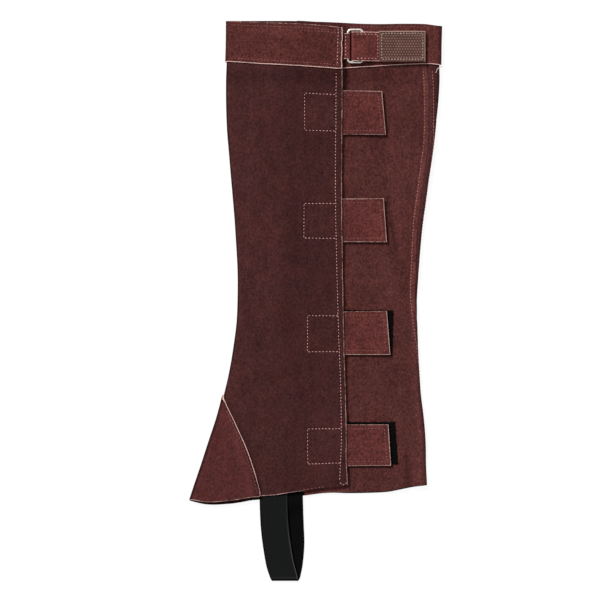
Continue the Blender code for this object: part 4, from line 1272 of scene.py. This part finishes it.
def stitch_template():
    """One stitch along X: a short thread whose ends dip into the cloth."""
    stations, sides = np.linspace(-1.0, 1.0, 7), 6
    points = []
    for t in stations:
        radius = THREAD_RADIUS * math.sqrt(max(0.12, 1.0 - 0.9 * t ** 4))
        for s in range(sides):
            angle = 2 * math.pi * s / sides
            points.append((t * STITCH_LENGTH / 2, radius * math.cos(angle),
                           radius * 0.85 * math.sin(angle) - 0.34 * t ** 4))
    return np.array(points), tube_faces(len(stations), sides)


def along_line(points, pitch):
    """Stitch middles at a pitch along a line of 3-D points, with their directions."""
    run = run_along(points)
    count = max(1, int(run[-1] / pitch))
    middles = (np.arange(count) + 0.5) * run[-1] / count
    direction = between(middles + 0.8, run, points) - between(middles - 0.8, run, points)
    direction /= np.linalg.norm(direction, axis=1)[:, None]
    return between(middles, run, points), direction


def sew(name, lines, material, pitch=STITCH_PITCH, scale=1.0):
    """One mesh of every stitch along several lines. A line is (points, outward normals)."""
    template, template_faces = stitch_template()
    points, faces = [], []
    for line, ups in lines:
        centre, direction = along_line(line, pitch)
        share = (np.arange(len(centre)) + 0.5) / len(centre)
        up = between(share, np.linspace(0, 1, len(ups)), ups)
        side = np.cross(up, direction)
        side /= np.linalg.norm(side, axis=1)[:, None]
        up = np.cross(direction, side)
        for c, d, s, u in zip(centre, direction, side, up):
            turn = rng.normal(0.0, 0.06)
            axes = np.stack([d * math.cos(turn) + s * math.sin(turn),
                             s * math.cos(turn) - d * math.sin(turn), u])
            size = scale * rng.uniform(0.9, 1.08)
            shift = s * rng.normal(0.0, 0.07) - u * STITCH_SINK
            start = len(template) * len(points)
            points.append(c + shift + (template * [size, scale, scale]) @ axes)
            faces += [tuple(i + start for i in face) for face in template_faces]
    return mesh_object(name, np.concatenate(points), faces, material)


def on_height(x, y, height):
    """A line laid on a height, with its upward normals."""
    x, y = np.broadcast_arrays(np.asarray(x, float), np.asarray(y, float))
    small = 0.5
    slope_x = (height(x + small, y) - height(x - small, y)) / (2 * small)
    slope_y = (height(x, y + small) - height(x, y - small)) / (2 * small)
    normal = np.stack([-slope_x, -slope_y, np.ones(x.shape)], -1)
    return np.stack([x, y, height(x, y)], -1), normal


def on_wrap(u, y, out, normal_out):
    """A line on the wrap, with outward normals."""
    points = wrap_point(u, y, out)
    return points, wrap_point(u, y, normal_out) - points


def flap_top(x, y):
    return flap_floor(x, y) + SUEDE - flap_relief(x, y)


def band_front_top(x, y):
    return flap_floor(x, y) + SUEDE + LAYER


def bent_line(corners, height, count=40):
    """Straight rows from corner to corner, laid on a height."""
    t = np.linspace(0.0, 1.0, count)
    return [on_height(mix(a[0], b[0], t), mix(a[1], b[1], t), height)
            for a, b in zip(corners, corners[1:])]


def flap_lines():
    """The row beside the flap's raw edge, its corner, and the boxes over the tabs."""
    y = np.linspace(*FLAP_ROW_ENDS, 300)
    lines = [on_height(flap_row(y), y, flap_top)]
    lines += bent_line(FLAP_CORNER_ROW, flap_top, 6)
    y = np.linspace(*BAND_END_ROW_ENDS, 40)
    lines.append(on_height(flap_edge(y) - BAND_END_ROW, y, band_front_top))
    for tab, shift in zip(TABS, BOX_SHIFTS):
        left, _, bottom, top = tab_box(tab)
        bottom, top = bottom + shift.bottom, top + shift.top
        edge = float(flap_row((top + bottom) / 2))
        lines += bent_line([(edge, top + shift.top_rise), (left, top), (left, bottom),
                            (edge, bottom + shift.bottom_rise)], flap_top)
    return lines


def tab_lines():
    """The faint row inside each tab's cut edges, on what shows of it."""
    lines = []
    for tab in TABS:
        def top(x, y):
            return tab_floor(tab, x, y) + SUEDE - 0.1

        flap = float(flap_edge((tab.top_left + tab.bottom_left) / 2)) + 0.8
        upper, lower = tab.top_right - TAB_ROW, tab.bottom_right + TAB_ROW
        lines += bent_line([(flap, upper), (tab.end_top - TAB_ROW, upper),
                            (tab.end_bottom - TAB_ROW, lower), (flap, lower)], top)
    return lines


def band_lines():
    """Rows along the band's top edge and above its raw bottom edge, where they show."""
    rows = [(-77.0, 24.0, 120, TOP_LINES, "front", -BAND_TOP_ROW, band_front_top),
            (-14.0, 19.0, 40, TOP_LINES, "front", -BAND_SECOND_ROW, band_front_top),
            (-77.0, 20.5, 120, BAND_BOTTOM, "front", BAND_BOTTOM_ROW, band_front_top),
            (30.0, 108.0, 90, TOP_LINES, "under", -BAND_UNDER_ROW, band_under_top),
            (99.5, 108.0, 12, BAND_BOTTOM, "under", BAND_BOTTOM_ROW, band_under_top)]
    lines = []
    for start, end, count, edge, side, rise, height in rows:
        x = np.linspace(start, end, count)
        lines.append(on_height(x, read(edge, x, side) + rise, height))
    return lines


def seam_lines():
    """Two rows beside the calf seam, followed round the fold."""
    lines = []
    y = np.linspace(*SEAM_ROW_ENDS, 320)
    for side in (-SEAM_ROW, SEAM_ROW):
        u = u_from_calf(seam_shift(y) + side, y)
        out = SUEDE / 2 + ridge_at(u, y)
        lines.append(on_wrap(u, y, out, out + 1.0))
    return lines


def gusset_lines():
    """The row beside the gusset's cut edge, on the front."""
    y = np.linspace(*GUSSET_ROW_ENDS, 60)
    u = u_from_shin(-(reach(y) - GUSSET_ROW), y)
    return [on_wrap(u, y, LAYER + SUEDE / 2 - 0.1, LAYER + SUEDE)]


def hem_lines():
    """The short row that shows along the flap's hem by its corner."""
    x = np.linspace(*HEM_ROW_ENDS, 30)
    return [on_height(x, read(HEM_LINES, x, "front") + 1.0, flap_top)]


def strap_lines():
    """Rows along the strap's edges as far as its patch, one across it, and the keeper's."""
    lines = []
    start, end = STRAP_ROW_ENDS
    for y in (STRAP_TOP - STRAP_ROW, STRAP_BOTTOM + STRAP_ROW):
        lines += bent_line([(start, y), (end, y)], strap_top, 20)
    end += 0.1
    lines += bent_line([(end, STRAP_TOP - 2.5), (end, STRAP_BOTTOM + 2.5)], strap_top, 20)
    lines += bent_line([(KEEPER_ROW_X, KEEPER_TOP - 2.0), (KEEPER_ROW_X, KEEPER_BOTTOM + 2.0)],
                       lambda x, y: OVER_RING + KEEPER_SUEDE - 0.5 + 0.0 * x, 12)
    return lines


def patch_lines():
    """The row round the patch's border."""
    corners = box_corners(STRAP_PATCH_START + PATCH_ROW, STRAP_PATCH_END - PATCH_ROW,
                          STRAP_PATCH_BOTTOM + PATCH_ROW, STRAP_PATCH_TOP - PATCH_ROW)
    return bent_line(corners + corners[:1],
                     lambda x, y: strap_patch_floor(x, y) + PATCH_LEATHER - 0.1)


def build_loose_thread(material):
    """A cut thread end that curls out from the band's corner."""
    bends = [(107.6, 205.6, 7.2), (108.9, 208.6, 8.2), (110.6, 210.3, 8.6), (113.4, 211.4, 8.0)]
    line = between(np.linspace(0.0, len(bends) - 1.0, 24), range(len(bends)), bends)
    line[1:-1] = (line[:-2] + 2.0 * line[1:-1] + line[2:]) / 4.0
    sides = 6
    angles = 2 * math.pi * np.arange(sides) / sides
    ring = np.stack([0.3 * np.cos(angles), np.sin(angles), np.cos(angles)], -1)
    points = np.concatenate([point + THREAD_RADIUS * 1.2 * ring for point in line])
    return mesh_object("loose_thread", points, tube_faces(len(line), sides), material)


# ---------------------------------------------------------------- materials

class Nodes:
    """Small helper that adds and links shader nodes."""

    def __init__(self, name):
        self.material = bpy.data.materials.new(name)
        self.material.use_nodes = True
        self.tree = self.material.node_tree
        self.shader = self.tree.nodes["Principled BSDF"]
        self.coords = self.tree.nodes.new("ShaderNodeTexCoord").outputs["Object"]

    def link(self, value, socket):
        if isinstance(value, bpy.types.NodeSocket):
            self.tree.links.new(value, socket)
        else:
            socket.default_value = value

    def add(self, kind, inputs, **settings):
        """A new node's outputs. Its inputs are linked or set by name or number."""
        node = self.tree.nodes.new("ShaderNode" + kind)
        for name, value in settings.items():
            setattr(node, name, value)
        for key, value in inputs.items():
            self.link(value, node.inputs[key])
        return node.outputs

    def noise(self, scale, detail, roughness, seed, stretch=EVEN):
        place = self.add("Mapping", {"Vector": self.coords, "Scale": stretch,
                                     "Location": (seed, seed * 0.7, seed * 0.3)})
        return self.add("TexNoise", {"Vector": place["Vector"], "Scale": scale, "Detail": detail,
                                     "Roughness": roughness})["Fac"]

    def times(self, value, *factors):
        for factor in factors:
            value = self.add("Math", {0: value, 1: factor}, operation="MULTIPLY")[0]
        return value

    def remap(self, value, low, high, to_low, to_high):
        return self.add("MapRange", {"Value": value, "From Min": low, "From Max": high,
                                     "To Min": to_low, "To Max": to_high})["Result"]

    def vary(self, noise, low, high):
        """A noise as a factor that goes from low to high."""
        return self.remap(noise, 0.3, 0.7, low, high)

    def mix_colour(self, factor, a, b):
        a, b = ((*c, 1.0) if isinstance(c, tuple) else c for c in (a, b))
        return self.add("Mix", {"Factor": factor, 6: a, 7: b}, data_type="RGBA")[2]

    def scale_colour(self, colour, value):
        return self.add("VectorMath", {0: colour, "Scale": value}, operation="SCALE")[0]

    def paint(self):
        """The shell's painted shade, raw edge and wear."""
        colour = self.add("Attribute", {}, attribute_name="paint")["Color"]
        return self.add("SeparateColor", {"Color": colour})[:3]

    def bump(self, height, strength, distance, **below):
        return self.add("Bump", {"Strength": strength, "Distance": distance, "Height": height,
                                 **below})["Normal"]

    def finish(self, **values):
        """Sets the shader's inputs, and gives the material."""
        for name, value in values.items():
            self.link(value, self.shader.inputs[name.replace("_", " ")])
        return self.material


def suede_material(name, colour, seed, nap=EVEN, contrast=1.0, edge_light=1.0):
    """Napped suede: mottled nap stretched one way, fine fibre grain, a pale core at cut edges, and
    the shell's painted shade and light.
    """
    m = Nodes(name)
    shade, core, _ = m.paint()

    def mottle(noise, amount):
        return m.vary(noise, 1 - amount * contrast, 1 + amount * contrast)

    broad = mottle(m.noise(26.0, 3.0, 0.6, seed, nap), 0.10)
    patchy = mottle(m.noise(150.0, 4.0, 0.65, seed + 3, nap), 0.15)
    grain = m.noise(560.0, 3.0, 0.7, seed + 7, (1.0, 0.8, 1.0))
    fibre = m.noise(1500.0, 4.0, 0.75, seed + 13, (1.0, 0.6, 1.0))
    value = m.times(broad, patchy, mottle(grain, 0.42), mottle(fibre, 0.30), m.times(shade, 2.0))
    warm = (colour[0] * 1.22, colour[1] * 1.1, colour[2] * 0.95)
    cast = m.remap(m.noise(60.0, 2.0, 0.5, seed + 11), 0.4, 0.7, 0.0, 0.5)
    base = m.mix_colour(cast, m.scale_colour(colour, value), m.scale_colour(warm, value))
    ragged = m.times(core, m.vary(m.noise(420.0, 4.0, 0.7, seed + 5), 0.45, 1.55),
                     m.remap(m.noise(90.0, 2.0, 0.5, seed + 17), 0.35, 0.65, 0.65, 1.2))
    edge = m.scale_colour(RAW_EDGE_COLOUR, m.vary(m.noise(1400.0, 2.0, 0.5, seed + 9),
                                                  0.75 * edge_light, 1.15 * edge_light))
    base = m.mix_colour(m.remap(ragged, 0.22, 0.62, 0.0, 1.0), base, edge)
    nubs = m.bump(grain, 0.5, 0.0006, Normal=m.bump(fibre, 0.5, 0.0004))
    return m.finish(Base_Color=base, Normal=nubs, Roughness=0.95, Specular_IOR_Level=0.03,
                    Sheen_Weight=0.05, Sheen_Roughness=0.5, Sheen_Tint=SHEEN_COLOUR)


def leather_material(name, colour):
    """Stamped leather: worn pale on its highs, dark in its hollows, with a pale cut edge."""
    m = Nodes(name)
    _, core, wear = m.paint()
    pebble = m.noise(1100.0, 3.0, 0.6, 4.0)
    value = m.times(m.vary(m.noise(120.0, 3.0, 0.6, 2.0), 0.8, 1.2), m.vary(pebble, 0.8, 1.2),
                    m.remap(wear, 0.0, 1.0, 0.45, 2.3))
    base = m.mix_colour(m.remap(core, 0.4, 0.9, 0.0, 0.85), m.scale_colour(colour, value),
                        PATCH_EDGE_COLOUR)
    return m.finish(Base_Color=base, Normal=m.bump(pebble, 0.25, 0.0003), Roughness=0.6,
                    Specular_IOR_Level=0.15)


def elastic_material(name, colour):
    """Black webbing, with painted shade in the grooves between its cords."""
    m = Nodes(name)
    shade, cords, _ = m.paint()
    yarn = m.noise(1500.0, 2.0, 0.6, 1.0, (1.0, 0.3, 1.0))
    value = m.times(m.remap(cords, 0.2, 1.0, 0.75, 1.15), m.vary(yarn, 0.8, 1.2),
                    m.times(shade, 2.0))
    return m.finish(Base_Color=m.scale_colour(colour, value), Normal=m.bump(yarn, 0.3, 0.0003),
                    Roughness=0.7, Specular_IOR_Level=0.06)


def pile_material(name, colour, scale):
    """Black loop pile or hook tape."""
    m = Nodes(name)
    loops = m.noise(scale, 3.0, 0.7, 6.0)
    return m.finish(Base_Color=m.scale_colour(colour, m.vary(loops, 0.5, 1.7)),
                    Normal=m.bump(loops, 0.9, 0.0008), Roughness=0.95, Specular_IOR_Level=0.04)


def thread_material(name, colour):
    m = Nodes(name)
    twist = m.noise(1800.0, 2.0, 0.5, 3.0)
    value = m.times(m.vary(m.noise(240.0, 2.0, 0.5, 8.0), 0.7, 1.3), m.vary(twist, 0.8, 1.2))
    return m.finish(Base_Color=m.scale_colour(colour, value), Normal=m.bump(twist, 0.3, 0.0002),
                    Roughness=0.6, Sheen_Weight=0.2, Sheen_Roughness=0.4)


def nickel_material(name):
    m = Nodes(name)
    scuff = m.noise(500.0, 4.0, 0.7, 5.0)
    dull = m.remap(scuff, 0.35, 0.7, 0.0, 0.6)
    return m.finish(Base_Color=m.mix_colour(dull, NICKEL_COLOUR, SCUFFED_COLOUR), Metallic=0.6,
                    Roughness=m.vary(scuff, 0.30, 0.42), Normal=m.bump(scuff, 0.08, 0.0002))


# ---------------------------------------------------------------- stage

WHITE = (1.0, 1.0, 1.0, 1.0)
FLOOR_HALF = 6000.0
FLOOR_DROP = 0.3            # keeps the floor clear of what rests on it
# The photo's frame in metres, with its middle a little left of the half chap's.
FRAME_WIDTH = 0.540
FRAME_MIDDLE = (-0.0144, 0.00135)
CAMERA_HEIGHT = 3.0
PIECE_HEIGHT = 0.006        # the height that the frame's width is measured at
SENSOR = 36.0


def build_stage():
    """White floor, soft light from the upper left, and a long lens straight above."""
    m = Nodes("pale_floor")
    material = m.finish(Base_Color=(0.10, 0.10, 0.10, 1.0), Roughness=1.0,
                        Specular_IOR_Level=0.0, Emission_Color=WHITE, Emission_Strength=0.93)
    corners = box_corners(-FLOOR_HALF, FLOOR_HALF, -FLOOR_HALF, FLOOR_HALF)
    points = [(*corner, -FLOOR_DROP) for corner in corners[::-1]]
    mesh_object("floor", points, [(0, 1, 2, 3)], material)

    scene = bpy.context.scene
    scene.world = bpy.data.worlds.new("studio")
    scene.world.use_nodes = True
    background = scene.world.node_tree.nodes["Background"]
    background.inputs["Color"].default_value = WHITE
    background.inputs["Strength"].default_value = 0.31

    key = bpy.data.lights.new("key", "SUN")
    key.energy = 3.15
    key.angle = math.radians(16.0)
    lamp = add_object("key", key)
    lamp.rotation_euler = (math.radians(-34.0), math.radians(-36.0), 0.0)

    data = bpy.data.cameras.new("camera")
    data.sensor_width = SENSOR
    data.lens = SENSOR * (CAMERA_HEIGHT - PIECE_HEIGHT) / FRAME_WIDTH
    scene.camera = add_object("camera", data)
    scene.camera.location = (*FRAME_MIDDLE, CAMERA_HEIGHT)
    scene.view_settings.view_transform = "Standard"


# ---------------------------------------------------------------- the half chap

def main():
    build_stage()
    flap = suede_material("suede_flap", FLAP_COLOUR, 0.0, (1.0, 0.45, 1.0))
    under = suede_material("suede_under", UNDER_COLOUR, 21.0, (1.0, 0.5, 1.0), contrast=1.2)
    gusset = suede_material("suede_gusset", GUSSET_COLOUR, 35.0, edge_light=1.35)
    band = suede_material("suede_band", BAND_COLOUR, 48.0, (0.5, 1.0, 1.0), contrast=1.35,
                          edge_light=1.45)
    tab = suede_material("suede_tab", TAB_COLOUR, 61.0, contrast=1.3)
    strap_suede = suede_material("suede_strap", TAB_COLOUR, 77.0, contrast=1.3, edge_light=1.5)
    leather = leather_material("stamped_leather", PATCH_COLOUR)
    elastic = elastic_material("black_elastic", ELASTIC_COLOUR)
    pile = pile_material("black_pile", PILE_COLOUR, 1700.0)
    hooks = pile_material("black_hooks", HOOK_COLOUR, 1200.0)
    pale = thread_material("pale_thread", PALE_THREAD)
    red = thread_material("red_thread", RED_THREAD)
    seam = thread_material("seam_thread", SEAM_THREAD)
    cream = thread_material("cream_thread", CREAM_THREAD)
    nickel = nickel_material("nickel_wire")

    panel = build_main_panel(flap)
    dress(panel, "suede", "main_panel", (0.322, 0.432), held="folded", area=0.118,
          rests_on=["floor"])
    dress(build_under_panel(under), "suede", "under_panel", (0.140, 0.425), held="laid",
          area=0.047, rests_on=[panel.name])
    dress(build_gusset(gusset), "gusset_suede", "foot_gusset", (0.134, 0.099), held="folded",
          area=0.0072, rests_on=["floor"])
    top = build_band(band)
    dress(top, "band_suede", "top_band", (0.425, 0.042), held="folded", area=0.0160,
          rests_on=["floor"])
    build_closures(tab, pile, hooks)

    keeper, flat = build_keeper(tab)
    dress(keeper, "tab_suede", "ring_keeper", flat, held="folded", rests_on=[top.name])
    dress(build_ring(nickel), "nickel", "strap_ring")
    strap, flat = build_strap(strap_suede)
    dress(strap, "tab_suede", "top_strap", flat, held="folded", rests_on=[top.name])
    patch, flat = build_patch(leather)
    dress(patch, "patch_leather", "strap_patch", flat, held="laid", rests_on=[strap.name])
    loop, flat = build_elastic(elastic)
    dress(loop, "elastic", "foot_elastic", flat, held="folded", rests_on=["floor"])

    dress(sew("stitches_flap", flap_lines(), pale), "suede")
    dress(sew("stitches_hem", hem_lines(), red, pitch=3.2), "suede")
    dress(sew("stitches_tabs", tab_lines(), red), "tab_suede")
    dress(sew("stitches_band", band_lines(), red), "band_suede")
    dress(sew("stitches_seam", seam_lines(), seam), "suede")
    dress(sew("stitches_gusset", gusset_lines(), red), "gusset_suede")
    dress(sew("stitches_strap", strap_lines(), pale, scale=0.9), "tab_suede")
    dress(build_loose_thread(cream), "band_suede")
    dress(sew("stitches_patch", patch_lines(), cream, pitch=2.5, scale=0.85), "patch_leather")


main()
